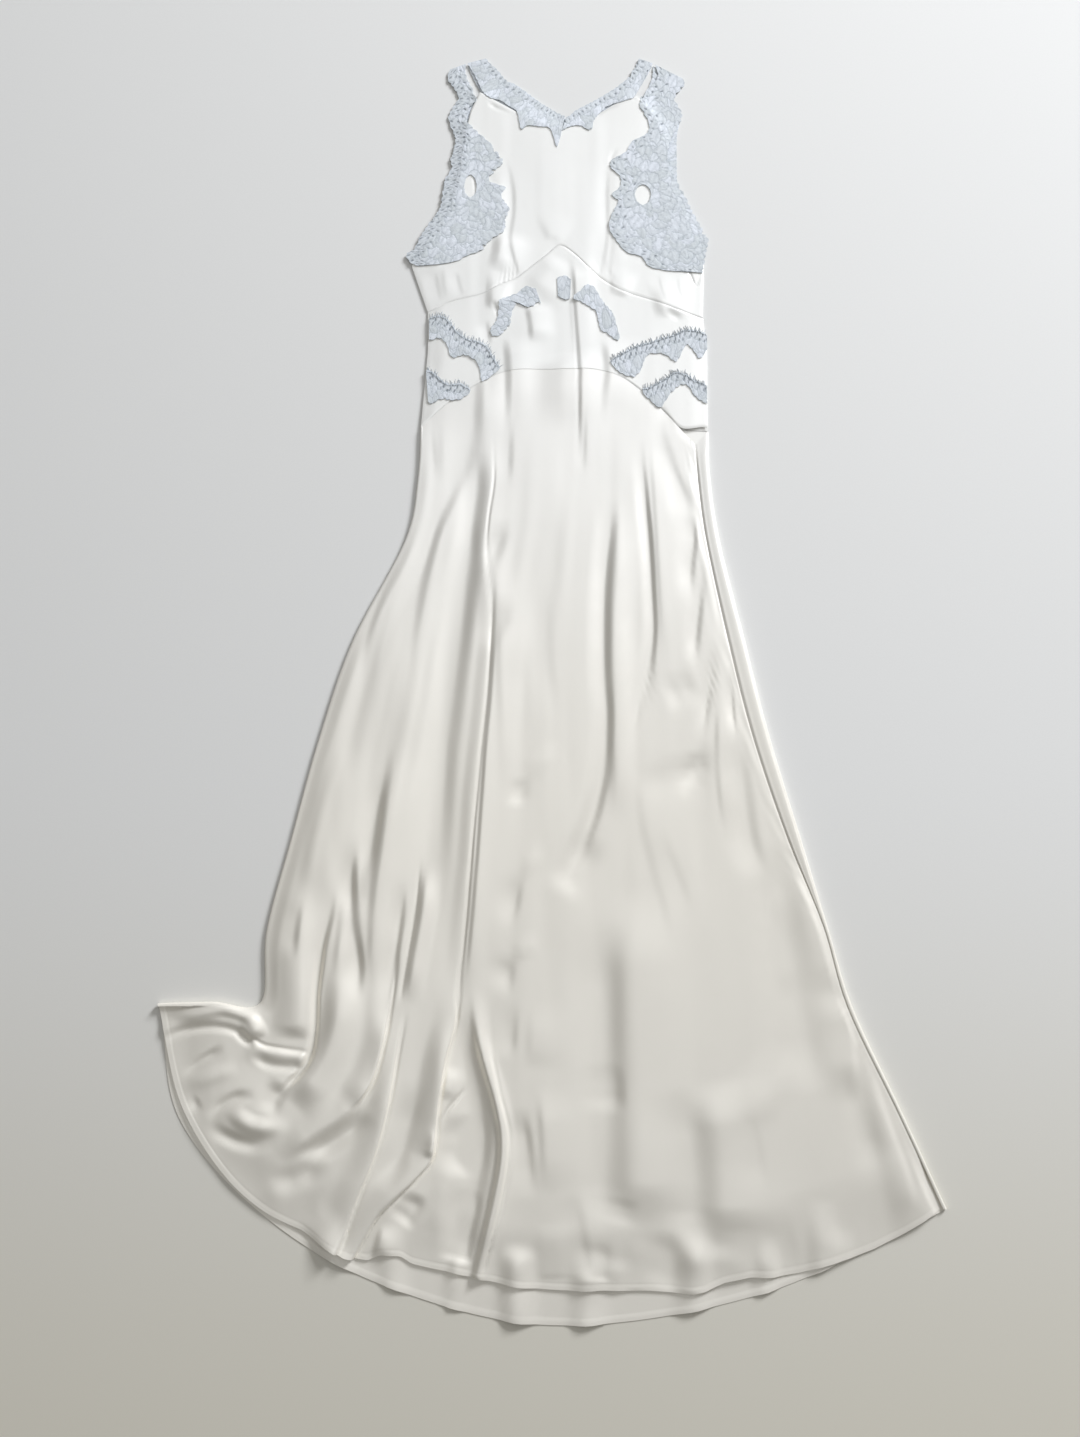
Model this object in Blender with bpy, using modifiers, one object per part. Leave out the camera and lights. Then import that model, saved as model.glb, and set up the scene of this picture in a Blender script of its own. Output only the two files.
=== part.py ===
"""Sleeveless lace dress: a floor-length bias-cut satin gown with lace trim, laid flat with its front up.

Metres, Z up, the surface it lies on at z = 0, the neckline toward +Y.
"""
import math

import bmesh
import bpy
import numpy as np
from mathutils import Vector
from mathutils.bvhtree import BVHTree

NAME = "sleeveless_lace_dress"
MM = 0.001

# Main sizes in millimetres; the tables below are in millimetres too, y measured up from the back hem.
DRESS_LENGTH = 1499.0
ORIGIN = (5.6, 747.7)
SATIN_WALL = 1.2
LACE_WALL = 1.0
LACE_EASE = 0.3
PLY_GAP = 0.3
SEAM_GAP = 0.4
BACK_MID = SATIN_WALL / 2
FRONT_MID = SATIN_WALL + PLY_GAP + SATIN_WALL / 2
BODICE_AIR = 1.0
SKIRT_AIR = 2.4
EDGE_MID = 3.9
ROLL_RETURN = 7.0
SKIRT_ROWS = 36
FRONT_COLUMNS = 42
BACK_COLUMNS = 12

# Front skirt, one row a level: x and y on seven guides from the left edge to the right side seam.
FRONT_SECTIONS = (
    ("yoke", -147, 1024, -111, 1057, -51, 1092, 13, 1096, 77, 1093, 127, 1061, 180, 1003),
    ("hip", -150, 962, -109, 972, -52, 982, 13, 984, 76, 984, 132, 977, 183, 966),
    ("seat", -164, 887, -113, 890, -54, 892, 12, 893, 78, 892, 137, 890, 192, 887),
    ("thigh", -224, 767, -159, 765, -83, 764, 1, 764, 83, 765, 154, 767, 215, 771),
    ("knee", -262, 650, -188, 644, -100, 641, -3, 641, 89, 644, 172, 650, 242, 656),
    ("calf", -291, 537, -209, 525, -113, 519, -7, 518, 98, 523, 193, 532, 279, 540),
    ("shin", -317, 432, -233, 409, -130, 404, -14, 402, 103, 407, 215, 421, 319, 438),
    ("turn", -322, 351, -256, 309, -149, 292, -18, 289, 108, 296, 228, 315, 345, 345),
    ("flare", -377, 352, -322, 254, -218, 199, -72, 167, 85, 156, 242, 188, 398, 230),
    ("hem", -438, 350, -403, 227, -315, 124, -166, 74, 18, 38, 229, 62, 445, 125),
)
# Back skirt, the same levels from the left edge to the right silhouette.
BACK_SECTIONS = (
    ("waist", -143, 1031, -110, 1030, -52, 1028, 13, 1026, 77, 1024, 139, 1022, 196, 1020),
    ("hip", -150, 963, -109, 973, -52, 983, 13, 985, 77, 985, 144, 978, 197, 967),
    ("seat", -164, 888, -114, 890, -54, 893, 12, 894, 78, 893, 142, 890, 207, 888),
    ("thigh", -224, 768, -160, 766, -83, 764, 1, 764, 83, 766, 162, 768, 234, 771),
    ("knee", -263, 650, -188, 644, -100, 641, -3, 641, 94, 644, 184, 650, 261, 656),
    ("calf", -292, 537, -210, 525, -113, 519, -7, 518, 101, 523, 205, 532, 294, 540),
    ("shin", -317, 432, -233, 409, -130, 404, -14, 401, 106, 407, 222, 421, 323, 437),
    ("turn", -321, 351, -256, 309, -150, 292, -18, 287, 111, 292, 231, 311, 350, 344),
    ("flare", -378, 352, -324, 252, -218, 193, -72, 150, 85, 136, 242, 168, 402, 229),
    ("hem", -439, 350, -410, 221, -312, 116, -177, 42, 12, 0, 240, 33, 449, 124),
)
# Folds of the front: name, height, width of the left slope, of the right slope, lean, fade in, fade out,
# then the ridge from top to bottom.
FOLDS = (
    ("hip_left", 4, 12, 30, 0.0, 0.4, 0.4, -153, 886, -176, 832, -198, 749),
    ("left_long", 6, 14, 34, 0.0, 0.3, 0.3, -77, 1008, -118, 874, -152, 696, -184, 540),
    ("main", 8, 16, 26, 0.2, 0.2, 0.2, -64, 1008, -63, 862, -63, 743, -76, 603, -94, 466, -104, 371),
    ("centre_line", 5, 10, 26, 0.0, 0.3, 0.3, -54, 767, -65, 650, -73, 466, -84, 365),
    ("centre_right", 5, 14, 26, 0.0, 0.3, 0.3, 92, 935, 89, 767, 86, 626, 64, 511, 24, 466),
    ("right_hip", 4, 14, 22, 0.0, 0.3, 0.4, 132, 1008, 135, 935, 144, 791, 129, 696, 117, 626),
    ("side_hip", 3, 16, 12, 0.0, 0.4, 0.4, 168, 960, 182, 905, 188, 814),
    ("right_long", 5, 20, 24, 0.0, 0.4, 0.4, 227, 673, 247, 580, 277, 443, 284, 354),
    ("right_hem", 7, 18, 28, 0.0, 0.3, 0.1, 325, 376, 336, 310, 374, 222, 412, 146),
    ("low_centre", 8, 22, 32, 0.0, 0.4, 0.0, 96, 466, 114, 299, 124, 168, 117, 50),
    ("low_right", 6, 20, 28, 0.0, 0.4, 0.0, 200, 266, 213, 135, 212, 60),
    ("low_mid", 4, 18, 34, 0.0, 0.4, 0.0, 1, 288, 4, 157, 6, 40),
    ("left_shin", 5, 14, 18, 0.0, 0.4, 0.4, -236, 489, -226, 399, -229, 343),
    ("left_mid", 5, 16, 22, 0.0, 0.4, 0.4, -161, 626, -186, 500, -189, 382),
    ("fold_b_up", 6, 16, 24, 0.0, 0.4, 0.4, -119, 489, -150, 365, -162, 288),
    ("fold_e", 13, 26, 24, 0.0, 0.3, 0.1, -296, 477, -290, 399, -285, 343, -288, 310),
    ("fold_d", 12, 36, 13, 0.2, 0.3, 0.3, -181, 399, -197, 321, -232, 249, -292, 191),
    ("flap_arc", 5, 14, 14, 0.0, 0.4, 0.4, -342, 244, -327, 217, -285, 217),
    ("flap_top", 4, 10, 12, 0.0, 0.4, 0.3, -412, 336, -373, 337, -335, 322),
    ("fold_c", 5, 18, 12, 0.0, 0.4, 0.1, -165, 332, -184, 244, -203, 168, -247, 87),
    ("fold_b", 11, 28, 13, 0.2, 0.4, 0.1, -107, 354, -129, 244, -135, 184, -225, 88),
    ("fold_a", 14, 14, 24, 0.25, 0.3, 0.0, -82, 399, -86, 343, -68, 288, -36, 222, -35, 184, -47, 130, -73, 52),
    ("hollow_high", 4, 14, 14, 0.0, 0.4, 0.4, -104, 275, -110, 240),
    ("hollow_low", 5, 15, 15, 0.0, 0.4, 0.4, -116, 165, -110, 130),
    ("hollow_hem", 6, 17, 17, 0.0, 0.3, 0.0, -177, 112, -167, 68),
    ("cup_left", 1.5, 10, 12, 0.0, 0.4, 0.1, -46, 1375, -39, 1304, -40, 1221),
    ("cup_right", 1.5, 12, 10, 0.0, 0.4, 0.1, 70, 1375, 68, 1284, 66, 1220),
    ("mid_crease", 2.5, 10, 20, 0.0, 0.3, 0.3, 47, 1229, 50, 1158, 56, 1058, 58, 972),
    ("waist_left", 2, 8, 12, 0.0, 0.4, 0.4, -41, 1126, -39, 1083, -34, 1033),
    ("waist_right", 2, 8, 12, 0.0, 0.4, 0.4, 84, 1120, 86, 1083, 86, 1033),
    ("yoke_left", 2, 9, 12, 0.0, 0.4, 0.4, -62, 1077, -64, 1033, -60, 996),
    ("tuck_right", 1.5, 8, 10, 0.0, 0.4, 0.4, 144, 1218, 150, 1183),
)
# Seam under the bust and seam of the skirt yoke, points from left to right.
UNDERBUST = (
    (-141, 1168), (-111, 1182), (-76, 1191), (-53, 1203), (-33, 1212), (-13, 1228), (2, 1240), (19, 1253),
    (36, 1243), (51, 1228), (65, 1214), (80, 1203), (97, 1194), (128, 1184), (162, 1171), (193, 1160),
)
YOKE_CORNER = (195.5, 1023.0)
MIDRIFF_LEVEL = (-139.5, 196.3, 1120.0)
BACK_WAIST = (-146.5, 196.0, 1031.5, 1020.9)

# Front bust, one row a rib: upper edge x, y and x of its lower end on the seam, y being set by the seam.
BUST_RIBS = (
    (-161.0, 1229.0, -140.0, 1168.5),
    (-145.5, 1250.5, -125.5, 1177.0),
    (-131.0, 1271.0, -111.0, 1182.0),
    (-116.5, 1295.5, -97.5, 1186.0),
    (-107.0, 1321.0, -85.5, 1188.5),
    (-101.0, 1349.5, -76.0, 1191.0),
    (-99.0, 1375.0, -67.5, 1194.5),
    (-95.5, 1401.0, -60.0, 1198.5),
    (-89.5, 1427.0, -53.0, 1203.5),
    (-78.5, 1451.0, -43.5, 1207.5),
    (-62.5, 1441.5, -33.5, 1212.5),
    (-44.0, 1431.0, -24.0, 1220.0),
    (-23.0, 1419.5, -13.0, 1227.5),
    (-1.0, 1411.5, 2.5, 1239.0),
    (22.5, 1405.0, 19.5, 1253.0),
    (42.0, 1411.5, 36.5, 1243.0),
    (62.0, 1419.5, 51.0, 1227.5),
    (84.0, 1433.5, 65.5, 1213.5),
    (101.0, 1440.5, 80.0, 1203.5),
    (116.0, 1444.0, 97.0, 1193.5),
    (133.0, 1424.5, 116.0, 1186.0),
    (145.0, 1401.0, 128.5, 1183.5),
    (148.5, 1375.0, 138.0, 1181.0),
    (152.0, 1346.5, 145.0, 1178.5),
    (159.0, 1321.0, 153.5, 1174.5),
    (168.5, 1295.5, 162.0, 1171.0),
    (178.0, 1272.0, 171.5, 1167.0),
    (187.0, 1252.0, 181.0, 1164.5),
    (194.0, 1231.5, 192.0, 1160.5),
)

# Lace, one row a rib: outer or upper edge x, y, then inner or lower edge x, y.
NECK_LEFT = (
    (-71.5, 1495.5, -94.5, 1489.0),
    (-66.5, 1489.0, -88.5, 1479.5),
    (-56.5, 1479.5, -81.0, 1464.0),
    (-50.0, 1470.5, -75.0, 1451.0),
    (-41.5, 1462.5, -66.0, 1443.0),
    (-31.5, 1456.0, -54.0, 1440.5),
    (-22.0, 1449.5, -44.0, 1433.5),
    (-11.0, 1441.5, -33.0, 1424.5),
    (-3.5, 1436.5, -28.0, 1402.5),
    (3.0, 1432.5, -19.5, 1406.5),
    (9.0, 1428.5, -4.5, 1405.0),
    (15.0, 1424.5, 6.5, 1403.5),
    (20.0, 1422.0, 11.5, 1393.5),
    (22.5, 1420.5, 16.0, 1379.0),
    (26.0, 1419.5, 21.0, 1394.5),
)
NECK_RIGHT = (
    (27.5, 1418.0, 22.5, 1400.0),
    (32.5, 1420.5, 32.0, 1405.0),
    (38.5, 1426.0, 44.5, 1406.5),
    (47.0, 1431.0, 58.0, 1400.0),
    (57.0, 1436.5, 61.5, 1413.0),
    (69.5, 1444.0, 71.5, 1426.0),
    (78.0, 1449.5, 84.0, 1435.0),
    (88.0, 1456.0, 94.0, 1437.5),
    (97.5, 1464.0, 103.5, 1440.5),
    (106.5, 1470.5, 111.0, 1444.0),
    (109.0, 1478.5, 118.5, 1458.5),
    (115.0, 1485.0, 126.0, 1473.0),
    (117.5, 1495.5, 135.0, 1489.0),
)
ARM_LEFT = (
    (-115.5, 1481.0, -97.0, 1488.0),
    (-118.0, 1469.0, -98.5, 1477.0),
    (-109.5, 1456.0, -92.0, 1461.5),
    (-104.5, 1443.0, -84.5, 1440.5),
    (-111.5, 1431.0, -92.0, 1431.0),
    (-116.5, 1417.0, -95.5, 1414.0),
    (-110.0, 1397.0, -83.0, 1398.5),
    (-107.5, 1388.0, -68.5, 1385.5),
    (-111.0, 1372.5, -56.0, 1368.5),
    (-113.5, 1362.0, -51.0, 1358.5),
    (-112.0, 1352.0, -62.0, 1346.5),
    (-119.5, 1339.0, -68.0, 1335.0),
    (-122.0, 1327.5, -47.5, 1326.0),
    (-123.0, 1318.5, -53.5, 1317.0),
    (-125.0, 1303.0, -43.5, 1300.5),
    (-130.0, 1294.0, -47.0, 1287.5),
    (-141.0, 1277.5, -49.5, 1271.0),
    (-150.5, 1262.0, -65.5, 1259.5),
    (-156.5, 1248.0, -76.0, 1246.5),
    (-166.0, 1241.5, -94.5, 1239.0),
    (-162.0, 1231.5, -107.5, 1232.0),
    (-152.5, 1226.5, -128.5, 1228.0),
)
ARM_RIGHT = (
    (137.5, 1487.5, 171.5, 1469.0),
    (141.0, 1473.0, 173.0, 1462.5),
    (134.5, 1461.5, 166.5, 1453.5),
    (127.0, 1451.0, 160.5, 1445.5),
    (119.5, 1440.5, 162.5, 1436.5),
    (118.5, 1430.0, 168.5, 1424.5),
    (128.0, 1413.0, 167.5, 1414.0),
    (129.0, 1401.0, 163.5, 1405.0),
    (123.0, 1393.5, 157.5, 1393.5),
    (108.0, 1385.5, 153.5, 1383.0),
    (100.5, 1372.5, 151.0, 1372.5),
    (83.5, 1362.0, 151.0, 1362.0),
    (82.0, 1352.0, 152.0, 1352.0),
    (93.0, 1340.5, 156.5, 1340.5),
    (93.0, 1327.5, 165.0, 1327.5),
    (83.0, 1317.0, 171.0, 1316.0),
    (90.5, 1308.0, 176.0, 1304.0),
    (83.0, 1292.5, 180.5, 1294.0),
    (79.5, 1275.0, 186.5, 1282.5),
    (87.5, 1259.5, 192.5, 1271.0),
    (100.0, 1244.0, 198.5, 1259.5),
    (118.0, 1238.0, 197.0, 1249.5),
    (128.5, 1225.0, 194.5, 1238.0),
    (150.5, 1220.0, 193.0, 1227.5),
    (172.0, 1219.0, 190.5, 1217.5),
)
MOTIF_LEFT = (
    (-62.5, 1138.0, -54.0, 1138.0),
    (-63.5, 1147.0, -48.0, 1144.5),
    (-56.5, 1158.0, -41.0, 1153.0),
    (-54.0, 1172.0, -39.5, 1165.5),
    (-53.0, 1182.0, -32.5, 1179.5),
    (-42.0, 1187.0, -21.5, 1174.5),
    (-31.0, 1192.0, -13.0, 1176.0),
    (-21.5, 1200.0, -8.0, 1181.0),
    (-9.5, 1196.0, -3.5, 1179.5),
)
MOTIF_CENTRE = (
    (16.0, 1210.0, 17.0, 1188.5),
    (21.0, 1212.5, 22.0, 1184.5),
    (27.0, 1212.5, 27.0, 1183.5),
    (33.0, 1208.5, 31.5, 1184.5),
)
MOTIF_RIGHT = (
    (36.5, 1188.5, 35.5, 1183.5),
    (44.0, 1193.5, 43.5, 1181.0),
    (51.0, 1201.0, 54.5, 1174.5),
    (60.5, 1198.5, 63.0, 1168.5),
    (68.0, 1186.0, 65.5, 1158.0),
    (75.0, 1176.0, 69.0, 1145.5),
    (83.5, 1165.5, 76.0, 1142.0),
    (87.0, 1153.0, 83.5, 1135.5),
    (91.5, 1135.5, 89.5, 1132.0),
)
WAIST_LEFT_UPPER = (
    (-138.5, 1160.5, -138.0, 1133.0),
    (-125.0, 1163.0, -125.0, 1135.5),
    (-115.5, 1157.0, -116.5, 1127.0),
    (-106.0, 1144.5, -110.5, 1112.0),
    (-93.5, 1134.5, -95.0, 1114.5),
    (-79.0, 1130.5, -81.5, 1107.0),
    (-69.5, 1125.5, -76.5, 1095.5),
    (-62.5, 1113.0, -73.0, 1082.0),
    (-52.5, 1098.0, -54.0, 1095.5),
)
WAIST_LEFT_LOWER = (
    (-141.5, 1095.5, -138.5, 1056.0),
    (-132.0, 1090.5, -132.5, 1054.5),
    (-123.5, 1082.0, -122.0, 1059.5),
    (-112.5, 1077.0, -112.5, 1058.5),
    (-100.5, 1078.0, -100.5, 1059.5),
    (-87.5, 1071.0, -89.5, 1066.0),
)
WAIST_RIGHT_UPPER = (
    (79.5, 1105.5, 82.0, 1100.5),
    (89.0, 1112.0, 91.5, 1092.0),
    (99.0, 1118.0, 106.0, 1087.0),
    (111.0, 1124.5, 115.5, 1094.5),
    (128.0, 1129.5, 125.0, 1114.5),
    (142.5, 1134.5, 144.5, 1115.5),
    (154.5, 1138.0, 159.0, 1107.0),
    (169.0, 1144.5, 171.0, 1127.0),
    (181.0, 1144.5, 180.5, 1119.5),
    (189.5, 1143.0, 187.5, 1110.5),
    (196.5, 1139.5, 196.5, 1122.0),
)
WAIST_RIGHT_LOWER = (
    (117.5, 1072.0, 119.0, 1066.0),
    (127.0, 1073.5, 128.5, 1057.0),
    (137.0, 1079.5, 139.0, 1049.5),
    (148.0, 1085.5, 151.0, 1066.0),
    (157.5, 1092.0, 163.0, 1077.0),
    (169.5, 1089.5, 173.0, 1076.0),
    (179.0, 1083.0, 180.0, 1064.5),
    (188.5, 1079.5, 189.5, 1057.0),
    (195.5, 1076.0, 195.5, 1054.5),
)
BACK_LEFT = (
    (-113.0, 1478.5, -97.0, 1486.0),
    (-115.5, 1468.0, -96.0, 1472.0),
    (-104.5, 1451.0, -88.5, 1452.0),
    (-103.0, 1441.5, -81.5, 1439.0),
    (-111.5, 1424.5, -82.5, 1420.5),
    (-114.0, 1414.0, -83.0, 1409.0),
    (-107.5, 1396.0, -83.5, 1396.0),
    (-110.0, 1372.5, -84.0, 1372.5),
    (-111.0, 1353.0, -85.5, 1353.0),
    (-117.0, 1337.5, -90.0, 1335.0),
    (-119.5, 1317.0, -93.5, 1314.5),
    (-125.0, 1296.5, -101.0, 1291.5),
    (-137.0, 1277.5, -113.0, 1271.0),
    (-148.0, 1262.0, -125.0, 1252.0),
    (-158.5, 1246.5, -135.5, 1235.5),
    (-162.0, 1231.5, -140.5, 1222.5),
)
BACK_RIGHT = (
    (135.0, 1486.0, 170.5, 1469.0),
    (133.5, 1469.0, 165.5, 1456.0),
    (124.5, 1449.5, 160.5, 1445.5),
    (118.5, 1444.0, 161.5, 1435.0),
    (122.0, 1435.0, 167.5, 1424.5),
    (126.0, 1417.0, 167.5, 1414.0),
    (127.0, 1393.5, 163.5, 1393.5),
    (128.5, 1352.0, 163.0, 1362.5),
    (134.5, 1331.0, 164.0, 1328.5),
    (139.5, 1310.5, 173.5, 1310.5),
    (149.0, 1290.0, 181.5, 1292.5),
    (160.5, 1269.5, 191.0, 1272.0),
    (170.0, 1250.5, 197.0, 1255.5),
    (177.5, 1234.0, 193.0, 1231.5),
)
BACK_NECK = (
    (-70.0, 1493.0, -93.5, 1486.0),
    (-59.0, 1478.5, -86.0, 1468.0),
    (-49.0, 1466.5, -76.0, 1449.5),
    (-39.0, 1464.0, -67.5, 1443.0),
    (-27.0, 1456.0, -52.5, 1435.0),
    (-12.0, 1444.0, -35.5, 1423.5),
    (5.0, 1431.0, -15.5, 1410.5),
    (25.0, 1417.0, 23.5, 1392.0),
    (44.5, 1430.0, 63.0, 1410.5),
    (63.0, 1439.0, 82.5, 1423.5),
    (84.0, 1453.5, 97.5, 1435.0),
    (99.0, 1465.0, 108.5, 1443.0),
    (109.0, 1477.0, 118.5, 1457.5),
    (116.5, 1493.0, 133.5, 1485.0),
)

# Round holes left open in the lace: centre x, y, half width, half height.
HOLES = {
    "lace_arm_left": (-89.5, 1328.0, 7.5, 14.0),
    "lace_arm_right": (121.0, 1317.0, 9.5, 12.5),
}
SATIN_IVORY = (0.80, 0.78, 0.73)
SATIN_LIGHT = (0.82, 0.82, 0.80)
LACE_BLUE = (0.56, 0.60, 0.65)



def clear_scene():
    """Start from an empty file."""
    for item in list(bpy.data.objects):
        bpy.data.objects.remove(item, do_unlink=True)
    for store in (bpy.data.meshes, bpy.data.materials, bpy.data.collections):
        for item in list(store):
            store.remove(item)


def through(points, t):
    """Smooth curve through evenly numbered points; t runs from 0 to 1."""
    points = np.asarray(points, dtype=float)
    last = len(points) - 1
    s = np.clip(np.atleast_1d(t), 0.0, 1.0) * last
    i = np.minimum(s.astype(int), last - 1)
    f = (s - i)[:, None]
    padded = np.vstack([2 * points[0] - points[1], points, 2 * points[-1] - points[-2]])
    p0, p1, p2, p3 = padded[i], padded[i + 1], padded[i + 2], padded[i + 3]
    cubic = (2 * p0 - 5 * p1 + 4 * p2 - p3) * f ** 2 + (3 * p1 - p0 - 3 * p2 + p3) * f ** 3
    return p1 + 0.5 * ((p2 - p0) * f + cubic)


def soft(t):
    """Smooth step from 0 to 1."""
    t = np.clip(t, 0.0, 1.0)
    return t * t * (3 - 2 * t)


def fold_paths():
    """Every fold ready to measure from: its sizes and its ridge as a fine polyline."""
    folds = []
    for row in FOLDS:
        ridge = through(np.array(row[7:], dtype=float).reshape(-1, 2), np.linspace(0, 1, 25))
        folds.append((row[1:7], ridge))
    return folds


FOLD_LINES = fold_paths()


def drape(x, y):
    """Height of the front above its lowest lie, and the sideways lean of the folds."""
    x = np.asarray(x, dtype=float)
    y = np.asarray(y, dtype=float)
    height = np.zeros_like(x)
    shift = np.zeros_like(x)
    for (rise, left, right, lean, fade_in, fade_out), ridge in FOLD_LINES:
        near = np.full(x.shape, 1e9)
        side = np.zeros_like(x)
        along = np.zeros_like(x)
        for k in range(len(ridge) - 1):
            a = ridge[k]
            d = ridge[k + 1] - a
            f = np.clip(((x - a[0]) * d[0] + (y - a[1]) * d[1]) / (d @ d), 0.0, 1.0)
            ox = x - a[0] - f * d[0]
            oy = y - a[1] - f * d[1]
            distance = np.hypot(ox, oy)
            closer = distance < near
            near = np.where(closer, distance, near)
            side = np.where(closer, d[0] * oy - d[1] * ox, side)
            along = np.where(closer, (k + f) / (len(ridge) - 1), along)
        width = np.where(side < 0, left, right)
        bump = 0.5 + 0.5 * np.cos(math.pi * np.clip(near / width, 0.0, 1.0))
        start = soft(along / fade_in) if fade_in else 1.0
        end = soft((1 - along) / fade_out) if fade_out else 1.0
        lift = rise * bump * start * end
        height += lift
        steep = -1.0 if left < right else 1.0
        shift += steep * lean * lift
    return height, shift


def front_level(x, y):
    """Mid height of the front cloth; the skirt holds more air than the bodice."""
    lift, _ = drape(x, y)
    air = BODICE_AIR + (SKIRT_AIR - BODICE_AIR) * soft((1110 - np.asarray(y)) / 240)
    return FRONT_MID + air + lift


def yoke_point(t):
    """Yoke seam from the left edge to the right side seam; t runs from 0 to 1."""
    guide = np.array(FRONT_SECTIONS[0][1:], dtype=float).reshape(-1, 2)
    return through(guide, t)


def yoke_height(x):
    """y of the yoke seam at x."""
    line = yoke_point(np.linspace(0, 1, 241))
    return np.interp(x, line[:, 0], line[:, 1])


def seam_height(x):
    """y of the seam under the bust at x."""
    line = through(UNDERBUST, np.linspace(0, 1, 241))
    return np.interp(x, line[:, 0], line[:, 1])


def section_grid(sections, rows):
    """Guide points of a skirt at each of its rows."""
    levels = np.array([row[1:] for row in sections], dtype=float)
    dense = through(levels, np.linspace(0, 1, rows + 1))
    return dense.reshape(rows + 1, 7, 2)


def walk(guides, distances):
    """Points along one row at distances from its left end."""
    line = through(guides, np.linspace(0, 1, 121))
    steps = np.hypot(*np.diff(line, axis=0).T)
    run = np.concatenate([[0.0], np.cumsum(steps)])
    return np.stack([np.interp(distances, run, line[:, k]) for k in (0, 1)], axis=1)


def row_length(guides):
    """Length of one row of the skirt."""
    line = through(guides, np.linspace(0, 1, 121))
    return float(np.hypot(*np.diff(line, axis=0).T).sum())


def collection(name):
    """A collection in the scene."""
    made = bpy.data.collections.new(name)
    bpy.context.scene.collection.children.link(made)
    return made


def material(name, colour, roughness, sheen):
    """Plain cloth material of one piece."""
    made = bpy.data.materials.new(name)
    made.use_nodes = True
    shader = made.node_tree.nodes["Principled BSDF"]
    shader.inputs["Base Color"].default_value = (*colour, 1.0)
    shader.inputs["Roughness"].default_value = roughness
    shader.inputs["Sheen Weight"].default_value = sheen
    made.diffuse_color = (*colour, 1.0)
    return made


def sheet(name, points, wall, colour, roughness, home, skip=None):
    """Cloth of even wall over a grid of points given in millimetres, rows first."""
    rows, columns = points.shape[:2]
    bpy.ops.mesh.primitive_grid_add(x_subdivisions=columns - 1, y_subdivisions=rows - 1, size=1.0)
    piece = bpy.context.active_object
    piece.name = name
    piece.data.name = name
    flat = points.reshape(-1, 3) * MM
    flat[:, 0] -= ORIGIN[0] * MM
    flat[:, 1] -= ORIGIN[1] * MM
    piece.data.vertices.foreach_set("co", flat.ravel())
    piece.data.update()
    work = bmesh.new()
    work.from_mesh(piece.data)
    if skip:
        cut = [face for face in work.faces if skip(face.calc_center_median() / MM)]
        bmesh.ops.delete(work, geom=cut, context="FACES")
    tilt = sum(face.normal.z * face.calc_area() for face in work.faces)
    if tilt < 0:
        bmesh.ops.reverse_faces(work, faces=work.faces[:])
    work.to_mesh(piece.data)
    work.free()
    piece.data.materials.append(material(name, colour, roughness, 0.3))
    wall_step = piece.modifiers.new("wall", "SOLIDIFY")
    wall_step.thickness = wall * MM
    wall_step.offset = 0.0
    wall_step.use_even_offset = True
    wall_step.use_quality_normals = True
    for owner in list(piece.users_collection):
        owner.objects.unlink(piece)
    home.objects.link(piece)
    return piece


def front_skirt_points():
    """Front skirt: turned under at the left edge, on its folds, up to the right side seam."""
    guides = section_grid(FRONT_SECTIONS, SKIRT_ROWS)
    grid = np.zeros((SKIRT_ROWS + 1, FRONT_COLUMNS + 6, 3))
    for i, row in enumerate(guides):
        length = row_length(row)
        turned = walk(row, np.array([ROLL_RETURN, 2.4, 0.6, 1.0, 3.4]))
        open_run = np.linspace(ROLL_RETURN, length - 2.0, FRONT_COLUMNS)
        open_run = np.append(open_run, length - SEAM_GAP / 2)
        field = walk(row, open_run)
        level = front_level(field[:, 0], field[:, 1])
        lean = drape(field[:, 0], field[:, 1])[1]
        inside = soft(np.minimum(open_run - ROLL_RETURN, length - 2.0 - open_run) / 20)
        seat = EDGE_MID + (level - EDGE_MID) * (1 - soft(i / 5.0))
        level = seat + (level - seat) * inside
        lean = lean * inside
        grid[i, :5, :2] = turned
        grid[i, :5, 2] = (BACK_MID, BACK_MID, 1.75, 3.2, 4.1)
        grid[i, 5:, :2] = field
        grid[i, 5:, 0] += lean
        grid[i, 5:, 2] = level
    grid[0, 5:, 1] -= SEAM_GAP / 2
    grid[0, :5, 1] -= SEAM_GAP * 2
    return grid


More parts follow.
